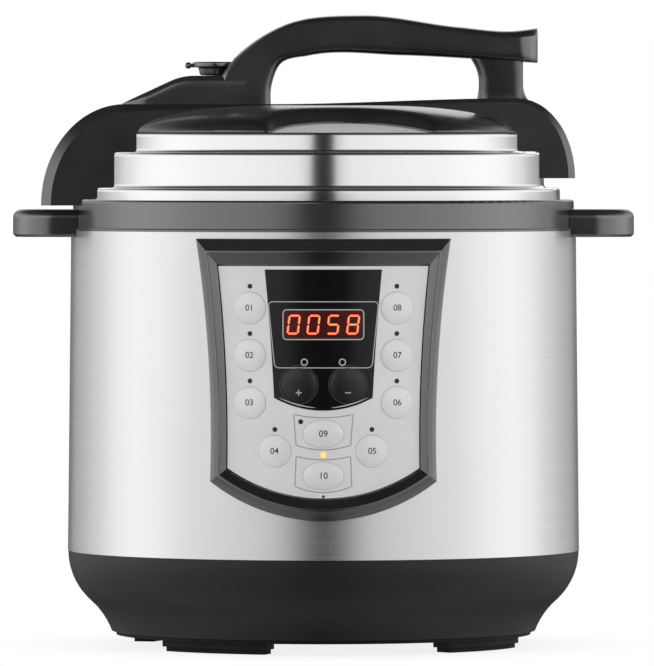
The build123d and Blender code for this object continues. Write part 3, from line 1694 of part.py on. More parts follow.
def back_strip(half_width, inner, outer):
    """Plan of a strip across the back, between two arcs round the axis."""
    with BuildSketch(mode=Mode.PRIVATE) as shape:
        Circle(outer)
        Circle(inner, mode=Mode.SUBTRACT)
        with Locations((0, outer / 2)):
            Rectangle(2 * half_width, outer, mode=Mode.INTERSECT)
    return shape.sketch


with BuildPart() as condensation_cup:
    with BuildSketch(Plane.XY.offset(cup_z)):
        add(back_strip(cup_half_width, cup_face, cup_back))
    extrude(amount=cup_height)
    with BuildSketch(Plane.XY.offset(cup_top_z - cup_flange_thickness)):
        add(back_strip(flange_half, cup_face, rail_back))
    extrude(amount=cup_flange_thickness)
    with BuildSketch(Plane.XY.offset(cup_z + cup_wall)):
        add(back_strip(cup_half_width - cup_wall, cup_face + cup_wall, cup_back - cup_wall))
    extrude(amount=cup_height, mode=Mode.SUBTRACT)
save(condensation_cup.part, "condensation_cup")

ledge_top = cup_top_z - cup_flange_thickness - slide_gap
with BuildPart() as cup_bracket:
    with BuildSketch(Plane.XY.offset(plate_z)):
        add(back_strip(rail_outer, cup_face - collar_step, rail_back))
        with Locations((0, collar_radius + spout_reach - spout_thickness - spout_bore)):
            Circle(2 * spout_bore, mode=Mode.SUBTRACT)
    extrude(amount=bracket_thickness)
    with BuildSketch(Plane.XY.offset(ledge_top - bracket_thickness)):
        add(back_strip(rail_outer, cup_face - collar_step, rail_back))
        add(back_strip(rail_inner, 0.8 * cup_face, cup_back), mode=Mode.SUBTRACT)
    extrude(amount=plate_z - ledge_top + bracket_thickness)
    with BuildSketch(Plane.XY.offset(ledge_top - bracket_thickness)):
        add(back_strip(rail_outer, cup_face - collar_step, rail_back))
        add(back_strip(cup_half_width + slide_gap, 0.8 * cup_face, cup_back), mode=Mode.SUBTRACT)
    extrude(amount=bracket_thickness)
    with BuildSketch(Plane.XZ):
        add(steel_profile())
    revolve(axis=Axis.Z, mode=Mode.SUBTRACT)
save(cup_bracket.part, "cup_bracket")
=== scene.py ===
from math import pi, radians

import bmesh
import bpy
import numpy as np
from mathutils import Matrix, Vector


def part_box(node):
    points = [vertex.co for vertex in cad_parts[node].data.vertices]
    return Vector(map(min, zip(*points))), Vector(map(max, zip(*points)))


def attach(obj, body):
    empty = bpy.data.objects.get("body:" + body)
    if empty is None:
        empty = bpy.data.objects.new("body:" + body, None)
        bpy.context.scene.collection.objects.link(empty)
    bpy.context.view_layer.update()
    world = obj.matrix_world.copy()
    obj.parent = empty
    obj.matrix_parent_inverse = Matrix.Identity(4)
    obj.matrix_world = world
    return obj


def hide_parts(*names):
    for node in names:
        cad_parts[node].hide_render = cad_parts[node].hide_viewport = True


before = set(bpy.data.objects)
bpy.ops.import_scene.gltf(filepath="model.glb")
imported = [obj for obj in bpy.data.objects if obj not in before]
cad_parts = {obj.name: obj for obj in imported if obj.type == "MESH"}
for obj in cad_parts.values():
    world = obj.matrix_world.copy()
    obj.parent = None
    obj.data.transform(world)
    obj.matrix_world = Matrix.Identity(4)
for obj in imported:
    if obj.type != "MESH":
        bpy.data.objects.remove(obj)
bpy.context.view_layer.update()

# Electric pressure cooker. Shapes are worked out in millimetres and put into
# the meshes in metres. +Z is up and the control panel faces -Y.
MM = 0.001

# Camera of the photograph: level with the lid, far away, a little above the middle
eye = Vector((0.0019, -4.88, 0.262))
aim = Vector((0.0019, 0.0, 0.1685))
lens_length = 488.0
sensor_width = 36.0

# Levels that gloss mirrors, from the front (0) round to the back (1): at eye level and above it
wall_levels = [
    *((0.0, 0.0), (0.045, 0.015), (0.1, 0.42), (0.14, 0.53), (0.2, 0.6), (0.32, 0.7), (0.45, 0.93)),
    *((0.52, 1.0), (0.58, 0.93), (0.68, 0.62), (0.78, 0.42), (0.85, 0.36), (0.89, 0.12), (0.94, 0.1)),
    (1.0, 0.45),
]
upper_levels = [
    *((0.0, 0.0), (0.026, 0.02), (0.042, 0.72), (0.08, 0.87), (0.3, 0.93), (0.52, 1.0), (0.62, 0.97)),
    *((0.72, 0.88), (0.81, 0.75), (0.87, 0.4), (0.92, 0.14), (0.95, 0.12), (1.0, 0.22)),
]
white = (1.0, 1.0, 1.0, 1.0)
room_level = 0.82
floor_half, floor_tone = 0.55, 0.95


# Studio: camera, lamps, surroundings and floor


def set_camera():
    """Camera at the photograph's place, aimed at the middle of its frame."""
    data = bpy.data.cameras.new("photo_camera")
    data.lens = lens_length
    data.sensor_width = sensor_width
    data.clip_end = 100.0
    camera = bpy.data.objects.new("photo_camera", data)
    camera.location = eye
    camera.rotation_mode = "QUATERNION"
    camera.rotation_quaternion = (aim - eye).to_track_quat("-Z", "Y")
    bpy.context.scene.collection.objects.link(camera)
    bpy.context.scene.camera = camera


def soft_box(name, place, target, width, height, radiance, in_gloss=True):
    """Area lamp of an even radiance, turned to face a point, that gloss may mirror or not."""
    data = bpy.data.lights.new(name, "AREA")
    data.shape = "RECTANGLE"
    data.size = width
    data.size_y = height
    data.energy = radiance * pi * width * height
    lamp = bpy.data.objects.new(name, data)
    lamp.location = place
    lamp.rotation_mode = "QUATERNION"
    lamp.rotation_quaternion = (Vector(target) - Vector(place)).to_track_quat("-Z", "Y")
    lamp.visible_glossy = in_gloss
    bpy.context.scene.collection.objects.link(lamp)


def join(tree, value, socket):
    """Socket given a value, or joined to the output that the value is."""
    if isinstance(value, bpy.types.NodeSocket):
        tree.links.new(value, socket)
    else:
        socket.default_value = value


def put(tree, kind, inputs=None, **settings):
    """One node of a tree, with its settings, its values and what is joined to it."""
    node = tree.nodes.new(kind)
    for key, value in settings.items():
        setattr(node, key, value)
    for key, value in (inputs or {}).items():
        join(tree, value, node.inputs[key])
    return node


def math_node(tree, operation, *values):
    """Output of a Math node on the given values or sockets."""
    node = put(tree, "ShaderNodeMath", dict(enumerate(values)), operation=operation)
    return node.outputs[0]


def seen_rays(tree):
    """1 for the rays that look at a thing: from the camera, off gloss or through glass."""
    path = put(tree, "ShaderNodeLightPath")
    gloss = math_node(tree, "MAXIMUM", path.outputs["Is Glossy Ray"], path.outputs["Is Transmission Ray"])
    return path, math_node(tree, "MAXIMUM", path.outputs["Is Camera Ray"], gloss)


def ramp(tree, value, stops):
    """Output of a ramp that eases through grey stops of (place, level)."""
    node = put(tree, "ShaderNodeValToRGB", {0: value})
    node.color_ramp.interpolation = "EASE"
    elements = node.color_ramp.elements
    while len(elements) < len(stops):
        elements.new(0.5)
    for element, (place, level) in zip(elements, stops):
        element.position = place
        element.color = (level, level, level, 1.0)
    return node.outputs[0]


def mixed(tree, share, first, second):
    """Colour between two others, by a share."""
    return put(tree, "ShaderNodeMix", {0: share, 6: first, 7: second}, data_type="RGBA").outputs[2]


def rising(tree, value, start, end, low, high):
    """Level that eases from low to high while a value goes from start to end."""
    inputs = {"Value": value, "From Min": start, "From Max": end, "To Min": low, "To Max": high}
    return put(tree, "ShaderNodeMapRange", inputs, interpolation_type="SMOOTHSTEP").outputs[0]


def set_surroundings():
    """White room. Gloss also shows the dark flags in front and behind the sides."""
    world = bpy.data.worlds.new("studio")
    bpy.context.scene.world = world
    world.use_nodes = True
    tree = world.node_tree
    tree.nodes.clear()
    coords = put(tree, "ShaderNodeTexCoord")
    axes = put(tree, "ShaderNodeSeparateXYZ", {0: coords.outputs["Generated"]})
    forward = math_node(tree, "MULTIPLY", axes.outputs["Y"], -1.0)
    turn = math_node(tree, "ARCTAN2", axes.outputs["X"], forward)
    turn = math_node(tree, "DIVIDE", math_node(tree, "ABSOLUTE", turn), pi)
    height = axes.outputs["Z"]
    raised = rising(tree, height, 0.04, 0.11, 0.0, 1.0)
    flags = mixed(tree, raised, ramp(tree, turn, wall_levels), ramp(tree, turn, upper_levels))
    gloss = math_node(tree, "MULTIPLY", flags, rising(tree, height, 0.25, 0.75, 1.0, 0.05))
    gloss = math_node(tree, "MULTIPLY", gloss, rising(tree, height, -0.45, -0.08, 0.5, 1.0))
    path, seen = seen_rays(tree)
    backdrop = mixed(tree, path.outputs["Is Camera Ray"], gloss, white)
    room = put(tree, "ShaderNodeBackground", {"Color": (room_level, room_level, room_level, 1.0)})
    shown = put(tree, "ShaderNodeBackground", {"Color": backdrop})
    mix = put(tree, "ShaderNodeMixShader", {0: seen, 1: room.outputs[0], 2: shown.outputs[0]})
    put(tree, "ShaderNodeOutputWorld", {0: mix.outputs[0]})


def set_floor():
    """Pale floor that keeps the shadow near the cooker and turns white further off."""
    mesh = bpy.data.meshes.new("floor")
    corners = [(x * floor_half, y * floor_half, 0) for x, y in ((-1, -1), (1, -1), (1, 1), (-1, 1))]
    mesh.from_pydata(corners, [], [(0, 1, 2, 3)])
    floor = bpy.data.objects.new("floor", mesh)
    bpy.context.scene.collection.objects.link(floor)
    material = bpy.data.materials.new("pale_floor")
    material.use_nodes = True
    tree = material.node_tree
    tree.nodes.clear()
    coords = put(tree, "ShaderNodeTexCoord")
    distance = put(tree, "ShaderNodeVectorMath", {0: coords.outputs["Object"]}, operation="LENGTH")
    far = rising(tree, distance.outputs["Value"], 0.1, 0.2, 0.85, 1.0)
    _, seen = seen_rays(tree)
    fade = math_node(tree, "MULTIPLY", far, seen)
    paint = put(tree, "ShaderNodeBsdfDiffuse", {"Color": (floor_tone, floor_tone, floor_tone, 1.0)})
    plain = put(tree, "ShaderNodeEmission", {"Color": white, "Strength": 1.0})
    mix = put(tree, "ShaderNodeMixShader", {0: fade, 1: paint.outputs[0], 2: plain.outputs[0]})
    put(tree, "ShaderNodeOutputMaterial", {0: mix.outputs[0]})
    mesh.materials.append(material)
    floor.visible_glossy = False


set_camera()
set_surroundings()
set_floor()
soft_box("left_box", (-1.5, -0.1, 0.55), (0, 0, 0.2), 1.0, 1.6, 0.9, False)
soft_box("right_box", (1.5, -0.1, 0.55), (0, 0, 0.2), 1.0, 1.6, 0.8, False)
soft_box("back_box", (0.0, 2.0, 0.85), (0, 0, 0.28), 1.6, 0.7, 1.0)
bpy.context.scene.view_settings.view_transform = "Standard"


# Effects that several finishes share


def new_group(name, inputs, outputs):
    """Empty shader group with named float sockets and a vector socket for the place."""
    group = bpy.data.node_groups.new(name, "ShaderNodeTree")
    group.interface.new_socket("Vector", in_out="INPUT", socket_type="NodeSocketVector")
    for socket in inputs:
        group.interface.new_socket(socket, in_out="INPUT", socket_type="NodeSocketFloat")
    for socket in outputs:
        group.interface.new_socket(socket, in_out="OUTPUT", socket_type="NodeSocketFloat")
    entry = group.nodes.new("NodeGroupInput")
    leave = group.nodes.new("NodeGroupOutput")
    return group, entry.outputs, leave.inputs


def make_brushing():
    """Fine lines that run round the axis: noise drawn out along the turn, close across it."""
    group, given, put_out = new_group("brushing", ["Lines", "Drift"], ["Tone", "Height"])
    axes = put(group, "ShaderNodeSeparateXYZ", {0: given["Vector"]})
    flat = put(group, "ShaderNodeCombineXYZ", {0: axes.outputs[0], 1: axes.outputs[1]})
    radius = put(group, "ShaderNodeVectorMath", {0: flat.outputs[0]}, operation="LENGTH")
    across = math_node(group, "ADD", radius.outputs["Value"], axes.outputs[2])
    across = math_node(group, "MULTIPLY", across, given["Lines"])
    along_x = math_node(group, "MULTIPLY", axes.outputs[0], given["Drift"])
    along_y = math_node(group, "MULTIPLY", axes.outputs[1], given["Drift"])
    place = put(group, "ShaderNodeCombineXYZ", {0: along_x, 1: along_y, 2: across})
    noise = put(group, "ShaderNodeTexNoise", {"Vector": place.outputs[0], "Scale": 1.0, "Detail": 4.0})
    group.links.new(noise.outputs[0], put_out["Tone"])
    group.links.new(noise.outputs[0], put_out["Height"])
    return group


def make_grain():
    """Moulded surface: close pits for the height, wide soft patches for the tone."""
    group, given, put_out = new_group("moulded_grain", ["Pits", "Patches"], ["Height", "Patch"])
    for scale, detail, output in (("Pits", 2.0, "Height"), ("Patches", 3.0, "Patch")):
        inputs = {"Vector": given["Vector"], "Scale": given[scale], "Detail": detail}
        noise = put(group, "ShaderNodeTexNoise", inputs)
        group.links.new(noise.outputs[0], put_out[output])
    return group


brushing = make_brushing()
moulded_grain = make_grain()


bump_reach = 0.0002
drift = 9.0
patch_scale = 38.0
finishes = {}


def new_finish(name):
    """Material with an empty tree, a Principled shader and Object coordinates, kept under its name."""
    material = bpy.data.materials.new(name + "_finish")
    material.use_nodes = True
    tree = material.node_tree
    tree.nodes.clear()
    shader = put(tree, "ShaderNodeBsdfPrincipled")
    put(tree, "ShaderNodeOutputMaterial", {0: shader.outputs[0]})
    finishes[name] = material
    return tree, shader.inputs, put(tree, "ShaderNodeTexCoord").outputs["Object"]


def spread(tree, value, low, high):
    """A 0 to 1 value laid over a range."""
    inputs = {"Value": value, "From Min": 0.25, "From Max": 0.75, "To Min": low, "To Max": high}
    return put(tree, "ShaderNodeMapRange", inputs).outputs[0]


def shade(tree, value, colour, share):
    """A colour that a 0 to 1 value lightens and darkens by a share."""
    dark = [channel * (1 - share) for channel in colour] + [1.0]
    light = [min(1.0, channel * (1 + share)) for channel in colour] + [1.0]
    return mixed(tree, value, dark, light)


def bumped(tree, height, depth):
    """Normal of a surface that a height roughens."""
    inputs = {"Height": height, "Strength": depth, "Distance": bump_reach}
    return put(tree, "ShaderNodeBump", inputs).outputs[0]


def brushed_steel(name, colour, roughness, lines, depth, stretch, dull=None):
    """Sheet steel brushed round the axis, so its gloss is drawn out upwards; within a radius in
    metres it may be blasted to a pale, dull grey, given as radius, roughness and metallic."""
    tree, sockets, place = new_finish(name)
    inputs = {"Vector": place, "Lines": lines, "Drift": drift}
    lined = put(tree, "ShaderNodeGroup", inputs, node_tree=brushing)
    tone = lined.outputs["Tone"]
    rough = spread(tree, tone, roughness * 0.93, roughness * 1.07)
    bare = 1.0
    if dull:
        flat = put(tree, "ShaderNodeVectorMath", {0: place, 1: (1.0, 1.0, 0.0)}, operation="MULTIPLY")
        radius = put(tree, "ShaderNodeVectorMath", {0: flat.outputs[0]}, operation="LENGTH")
        dull_radius, dull_roughness, dull_metallic = dull
        inside = math_node(tree, "LESS_THAN", radius.outputs["Value"], dull_radius)
        rough = math_node(tree, "ADD", rough, math_node(tree, "MULTIPLY", inside, dull_roughness - roughness))
        bare = math_node(tree, "SUBTRACT", 1.0, math_node(tree, "MULTIPLY", inside, 1.0 - dull_metallic))
    join(tree, shade(tree, tone, colour, 0.03), sockets["Base Color"])
    join(tree, rough, sockets["Roughness"])
    join(tree, bare, sockets["Metallic"])
    join(tree, bumped(tree, lined.outputs["Height"], depth), sockets["Normal"])
    sockets["Anisotropic"].default_value = stretch
    sockets["Anisotropic Rotation"].default_value = 0.25


def moulded(name, colour, roughness, pits, depth, metallic=0.0, gloss=0.5, index=1.5, clear=0.0):
    """Moulded, cast or painted surface with a fine grain and a slightly uneven gloss."""
    tree, sockets, place = new_finish(name)
    inputs = {"Vector": place, "Pits": pits, "Patches": patch_scale}
    grain = put(tree, "ShaderNodeGroup", inputs, node_tree=moulded_grain)
    patch = grain.outputs["Patch"]
    join(tree, shade(tree, patch, colour, 0.08), sockets["Base Color"])
    join(tree, spread(tree, patch, roughness * 0.9, roughness * 1.1), sockets["Roughness"])
    join(tree, bumped(tree, grain.outputs["Height"], depth), sockets["Normal"])
    sockets["Metallic"].default_value = metallic
    sockets["Specular IOR Level"].default_value = gloss
    sockets["IOR"].default_value = index
    sockets["Transmission Weight"].default_value = clear


def glowing(name, colour, strength=1.0):
    """Plastic that gives off light, a little unevenly; on the read-out's ground and unlit bars this glow is
    painted light.
    """
    tree, sockets, place = new_finish(name)
    noise = put(tree, "ShaderNodeTexNoise", {"Vector": place, "Scale": 900.0})
    lit = shade(tree, noise.outputs[0], colour, 0.12)
    join(tree, lit, sockets["Base Color"])
    join(tree, lit, sockets["Emission Color"])
    sockets["Emission Strength"].default_value = strength
    sockets["Roughness"].default_value = 0.3


brushed_steel("body_steel", (0.95, 0.95, 0.945), 0.28, 1500.0, 0.006, 0.4)
brushed_steel("lid_steel", (0.97, 0.97, 0.965), 0.15, 1500.0, 0.006, 0.4, (0.1045, 0.45, 0.5))
moulded("black_plastic", (0.011, 0.011, 0.0115), 0.21, 2600.0, 0.08, gloss=1.0, index=2.05)
moulded("base_plastic", (0.015, 0.015, 0.0155), 0.38, 2400.0, 0.1, gloss=0.45)
moulded("cover_plastic", (0.01, 0.01, 0.0105), 0.21, 3000.0, 0.06, gloss=1.0, index=1.85)
moulded("bezel_plastic", (0.01, 0.01, 0.0105), 0.2, 3000.0, 0.06, gloss=1.0, index=1.9)
moulded("fascia_silver", (0.76, 0.76, 0.765), 0.38, 3400.0, 0.03, metallic=0.15)
moulded("lens_black", (0.006, 0.006, 0.007), 0.12, 900.0, 0.005)
moulded("button_silver", (0.8, 0.8, 0.805), 0.33, 3400.0, 0.02, metallic=0.2)
moulded("key_black", (0.012, 0.012, 0.0125), 0.28, 3000.0, 0.02, index=1.6)
moulded("light_dark", (0.02, 0.02, 0.02), 0.2, 3000.0, 0.05)
glowing("light_amber", (1.0, 0.42, 0.06), 1.3)
moulded("foot_rubber", (0.01, 0.01, 0.01), 0.75, 1800.0, 0.4, gloss=0.3)
moulded("silicone", (0.78, 0.78, 0.76), 0.5, 1500.0, 0.1)
brushed_steel("pot_alloy", (0.72, 0.72, 0.73), 0.34, 1800.0, 0.1, 0.3)
moulded("pot_coating", (0.05, 0.05, 0.053), 0.4, 1400.0, 0.3)
moulded("cast_alloy", (0.55, 0.55, 0.56), 0.5, 700.0, 0.6, metallic=1.0)
moulded("element_tube", (0.25, 0.25, 0.26), 0.45, 900.0, 0.4, metallic=1.0)
moulded("small_steel", (0.6, 0.6, 0.61), 0.3, 1500.0, 0.2, metallic=1.0)
moulded("board_green", (0.03, 0.17, 0.07), 0.4, 420.0, 0.4)
moulded("inner_plastic", (0.05, 0.05, 0.05), 0.5, 2000.0, 0.3)
moulded("cup_clear", (0.86, 0.88, 0.89), 0.25, 900.0, 0.02, clear=0.75)
# Base cover: the base's black plastic made darker and less glossy, as painted shade for the floor's shadow
# round the feet
moulded("underside_plastic_painted_shade", (0.009, 0.009, 0.0095), 0.6, 1800.0, 0.15, gloss=0.25)
# Dark print, also used for the painted shade of the pin hole in the fascia
moulded("print_dark", (0.03, 0.03, 0.032), 0.5, 2000.0, 0.05)
moulded("print_dim", (0.05, 0.05, 0.05), 0.4, 2000.0, 0.05)
moulded("print_grey", (0.32, 0.32, 0.32), 0.5, 2000.0, 0.05)
# Pale print, also used for the painted highlight along the window's foot
moulded("print_pale", (0.42, 0.42, 0.42), 0.45, 2000.0, 0.05)
# Painted glow: faint red light from the read-out's ground and unlit bars, which are not lit
glowing("read_out_ground_painted_glow", (0.022, 0.0012, 0.0008))
glowing("read_out_unlit_painted_glow", (0.032, 0.0015, 0.001))
glowing("read_out_glow", (0.78, 0.05, 0.014))
glowing("read_out_core", (1.0, 0.27, 0.1))
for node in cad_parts.values():
    for slot in node.material_slots:
        slot.material = finishes[slot.material.name]
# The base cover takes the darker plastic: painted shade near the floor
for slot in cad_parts["base_cover"].material_slots:
    slot.material = finishes["underside_plastic_painted_shade"]


# Shapes


def rounded(corners, setback, steps=6, closed=False):
    """Corners softened: each becomes a quadratic curve between points a setback along its two sides."""
    corners = np.asarray(corners, float)
    back = np.roll(corners, 1, 0) - corners
    ahead = np.roll(corners, -1, 0) - corners
    back_length = np.linalg.norm(back, axis=1, keepdims=True)
    ahead_length = np.linalg.norm(ahead, axis=1, keepdims=True)
    reach = np.broadcast_to(np.asarray(setback, float), len(corners))[:, None]
    start = corners + back / back_length * np.minimum(reach, 0.48 * back_length)
    end = corners + ahead / ahead_length * np.minimum(reach, 0.48 * ahead_length)
    if not closed:
        start[[0, -1]] = end[[0, -1]] = corners[[0, -1]]
    t = np.linspace(0, 1, steps)[None, :, None]
    curve = (1 - t) ** 2 * start[:, None] + 2 * t * (1 - t) * corners[:, None] + t**2 * end[:, None]
    curve = curve.reshape(-1, corners.shape[1])
    keep = np.linalg.norm(np.diff(curve, axis=0, prepend=curve[-1:]), axis=1) > 1e-6
    keep[0] = True
    return curve[keep]


def loop_angles(count):
    """Angles evenly round a closed outline."""
    return np.linspace(0, 2 * pi, count, endpoint=False)


def turned(profile, turns=288):
    """Profile of radius and height carried once round the Z axis."""
    angle = loop_angles(turns)
    radius, height = np.asarray(profile, float).T
    x = radius[:, None] * np.sin(angle)
    y = -radius[:, None] * np.cos(angle)
    return np.stack([x, y, np.broadcast_to(height[:, None], x.shape)], -1)


def ring_block(inner, outer, low, high, middle, half):
    """Block of a ring: its rectangular section carried through an angle, with both ends closed."""
    section = np.array([(inner, low), (outer, low), (outer, high), (inner, high)])
    angle = radians(middle) + np.linspace(-radians(half), radians(half), 17)
    angle = np.concatenate([angle[:1], angle, angle[-1:]])[:, None]
    radius = np.tile(section[:, 0], (len(angle), 1))
    height = np.tile(section[:, 1], (len(angle), 1))
    radius[[0, -1]] = section[:, 0].mean()
    height[[0, -1]] = section[:, 1].mean()
    return np.stack([radius * np.sin(angle), -radius * np.cos(angle), height], -1)


def with_ends(rings):
    """Rings of a tube with a point added in the middle of its first and last ring, to close them."""
    first = np.broadcast_to(rings[0].mean(0), rings[:1].shape)
    last = np.broadcast_to(rings[-1].mean(0), rings[:1].shape)
    return np.concatenate([first, rings, last])


def quads(rows, columns):
    """Corner numbers of the faces of a grid that closes round its columns."""
    row = np.arange(rows - 1)[:, None] * columns
    column = np.arange(columns)[None, :]
    next_column = (column + 1) % columns
    corners = [row + column, row + next_column, row + columns + next_column, row + columns + column]
    return np.stack(corners, -1).reshape(-1, 4)


def make_piece(name, grids, finish, body, nodes=(), crease=32.0, soften=0.0):
    """Object from grids of points in millimetres: every grid closes round its columns."""
    points = np.concatenate([grid.reshape(-1, 3) for grid in grids]) * MM
    starts = np.cumsum([0] + [grid.shape[0] * grid.shape[1] for grid in grids[:-1]])
    faces = np.concatenate([quads(*grid.shape[:2]) + start for grid, start in zip(grids, starts)])
    mesh = bpy.data.meshes.new(name)
    mesh.from_pydata(points.tolist(), [], faces.tolist())
    clean = bmesh.new()
    clean.from_mesh(mesh)
    bmesh.ops.remove_doubles(clean, verts=clean.verts, dist=2e-6)
    bmesh.ops.dissolve_degenerate(clean, edges=clean.edges, dist=1e-7)
    bmesh.ops.recalc_face_normals(clean, faces=clean.faces)
    clean.to_mesh(mesh)
    clean.free()
    mesh.shade_smooth()
    mesh.set_sharp_from_angle(angle=radians(crease))
    mesh.materials.append(finishes[finish])
    piece = bpy.data.objects.new(name, mesh)
    bpy.context.scene.collection.objects.link(piece)
    if soften:
        bevel = piece.modifiers.new("soft_edges", "BEVEL")
        bevel.width = soften * MM
        bevel.segments = 3
        bevel.limit_method = "ANGLE"
        bevel.angle_limit = radians(crease)
        bevel.harden_normals = True
    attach(piece, body)
    if nodes:
        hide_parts(*nodes)
    return piece


# Lid: three tiers and a low dome, pressed from one sheet


def across_box(node):
    """Lowest and highest corner of a CAD node in millimetres."""
    low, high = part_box(node)
    return np.array(low) / MM, np.array(high) / MM


lid_low, lid_high = across_box("lid_shell")
tier_radii = (lid_high[0], 119.3, 108.0)
tier_tops = (247.0, 266.0, 276.5)
dome_radius = 104.0
dome_top = lid_high[2]
sheet = 1.5
wall_lean = 0.045
collar_low, collar_high = across_box("collar")


def dome_height(radius):
    """Height of the steel dome at a radius: an arc from its crown down to its edge."""
    rise = dome_top - tier_tops[2]
    curve = (dome_radius**2 + rise**2) / (2 * rise)
    return dome_top - curve + np.sqrt(curve**2 - np.minimum(radius, dome_radius) ** 2)


def make_lid():
    """Outside profile of the tiers and the dome turned round, its inside a sheet's thickness in."""
    steps = [(tier_radii[0], lid_low[2])]
    foot = collar_high[2]
    for radius, next_radius, top in zip(tier_radii, (*tier_radii[1:], dome_radius), tier_tops):
        steps += [(radius - wall_lean * (top - foot), top), (next_radius, top)]
        foot = top
    skirt = rounded(steps, 2.2, 8)
    crown = np.linspace(dome_radius, 0, 30)[1:]
    outside = np.concatenate([skirt, np.stack([crown, dome_height(crown)], 1)])
    along = np.gradient(outside, axis=0)
    along /= np.linalg.norm(along, axis=1, keepdims=True)
    inside = outside + sheet * np.stack([-along[:, 1], along[:, 0]], 1)
    inside[:, 0] = np.maximum(inside[:, 0], 0)
    inside[0, 1] = lid_low[2]
    wall = turned(np.concatenate([outside, inside[::-1], outside[:1]]), 360)
    lugs = [
        ring_block(tier_radii[0] - 6.0, tier_radii[0] - 0.7, lid_low[2], lid_low[2] + 2.5, middle, 13.0)
        for middle in range(30, 360, 60)
    ]
    return make_piece("pressed_lid", [wall, *lugs], "lid_steel", "lid", ["lid_shell"])


# Lid cover: cap on the dome, arms down both sides, pillar for the grip

cover_low, cover_high = across_box("lid_cover")
arm_gap = 0.6
snug = 0.1
left_half_width = 43.0
right_half_width = 30.0
bridge_height = 292.0
bridge_ends = (-106.5, 104.0)
bridge_end_height = 295.2
right_arm_bottom = 252.2


def half_width(x):
    """Half width of the arms, which taper evenly from the left one to the right one."""
    share = (x - cover_low[0]) / (cover_high[0] - cover_low[0])
    return left_half_width + (right_half_width - left_half_width) * share


def stepped(corners, most):
    """Points along a line of corners, none further apart than most, with their shares of its length."""
    corners = np.asarray(corners, float)
    run = np.concatenate([[0], np.cumsum(np.linalg.norm(np.diff(corners, axis=0), axis=1))])
    length = np.union1d(run, np.linspace(0, run[-1], int(run[-1] / most) + 2))
    points = np.stack([np.interp(length, run, corners[:, 0]), np.interp(length, run, corners[:, 1])], 1)
    return length / run[-1], points


def make_arms():
    """Band round both arms: each section joins a point of the stepped inside, which runs round the
    tiers, to a point of the outside, with its outer corners bevelled."""
    gaps = [radius + arm_gap for radius in tier_radii]
    near = [radius + snug for radius in tier_radii]
    collar_gap = 136.1
    collar_top = collar_high[2] + 0.3
    ledge = tier_tops[1] + arm_gap
    inside_left = [
        (collar_gap, cover_low[2]),
        (collar_gap, collar_top),
        (near[0], collar_top),
        (near[0], tier_tops[0] + snug),
        (near[1], tier_tops[0] + snug),
        (near[1], tier_tops[1] + snug),
        (near[2], tier_tops[1] + snug),
        (near[2], tier_tops[2]),
    ]
    inside_right = [(gaps[1], right_arm_bottom), (gaps[1], ledge), (gaps[2], ledge), (gaps[2], tier_tops[2])]
    left_share, left_in = stepped(rounded(inside_left, 1.6, 4), 3.0)
    right_share, right_in = stepped(rounded(inside_right, 1.6, 4), 3.0)
    right_share, right_in = right_share[::-1], right_in[::-1]
    bridge_share = np.linspace(0, 1, 62)[1:-1]

    turn = left_share * pi / 2
    left_x = bridge_ends[0] - (bridge_ends[0] - cover_low[0]) * np.cos(turn)
    left_z = cover_low[2] + (bridge_height - cover_low[2]) * np.sin(turn)
    flat_x = bridge_ends[0] + (bridge_ends[1] - bridge_ends[0]) * bridge_share
    rise = np.clip((flat_x + 28.5) / (bridge_ends[1] + 28.5), 0, 1)
    flat_z = bridge_height + (bridge_end_height - bridge_height) * rise**2 * (3 - 2 * rise)
    turn = right_share * pi / 2
    right_x = bridge_ends[1] + (cover_high[0] - bridge_ends[1]) * np.cos(turn)
    right_z = right_arm_bottom + (bridge_end_height - right_arm_bottom) * np.sin(turn)
    outer_x = np.concatenate([left_x, flat_x, right_x])[:, None]
    outer_z = np.concatenate([left_z, flat_z, right_z])[:, None]

    under_x = -98.0 + 196.0 * bridge_share
    round_radius = np.concatenate([left_in[:, 0], np.abs(under_x), right_in[:, 0]])[:, None]
    inner_z = np.concatenate([left_in[:, 1], dome_height(np.abs(under_x)) + 0.3, right_in[:, 1]])[:, None]
    side = np.concatenate([-np.ones(len(left_in)), np.sign(under_x), np.ones(len(right_in))])[:, None]
    hugs = np.concatenate([np.ones(len(left_in)), np.zeros(len(under_x)), np.ones(len(right_in))])[:, None]

    def inner_x(y):
        return side * np.sqrt(round_radius**2 - hugs * y**2)

    edge = half_width(side * round_radius)
    edge = half_width(inner_x(edge))
    outer_edge = half_width(outer_x)
    bevel = np.interp(outer_x, [-150, -100, -60, 100, 135], [5.4, 4.5, 2.0, 2.2, 3.6])
    reach = np.hypot(outer_x - inner_x(edge), outer_z - inner_z)
    face = np.linspace(0, 1, 6)[None, :] * (1 - bevel / reach)
    face_x = inner_x(edge) + (outer_x - inner_x(edge)) * face
    face_z = inner_z + (outer_z - inner_z) * face
    across = np.linspace(-1, 1, 17)[None, :]
    top_y = across * (outer_edge - bevel)
    under_y = across[:, ::-1][:, 1:-1] * edge
    x = [face_x, outer_x + 0 * top_y, face_x[:, ::-1], inner_x(under_y)]
    y = [-half_width(face_x), top_y, half_width(face_x[:, ::-1]), under_y]
    z = [face_z, outer_z + 0 * top_y, face_z[:, ::-1], inner_z + 0 * under_y]
    return with_ends(np.stack([np.concatenate(part, 1) for part in (x, y, z)], -1))


cap_radius = 107.4
cap_flat = 40.4
cap_top = 291.5
scoop_middle = (19.0, -107.4)
scoop_size = (45.5, 30.0)
scoop_blend = 16.0


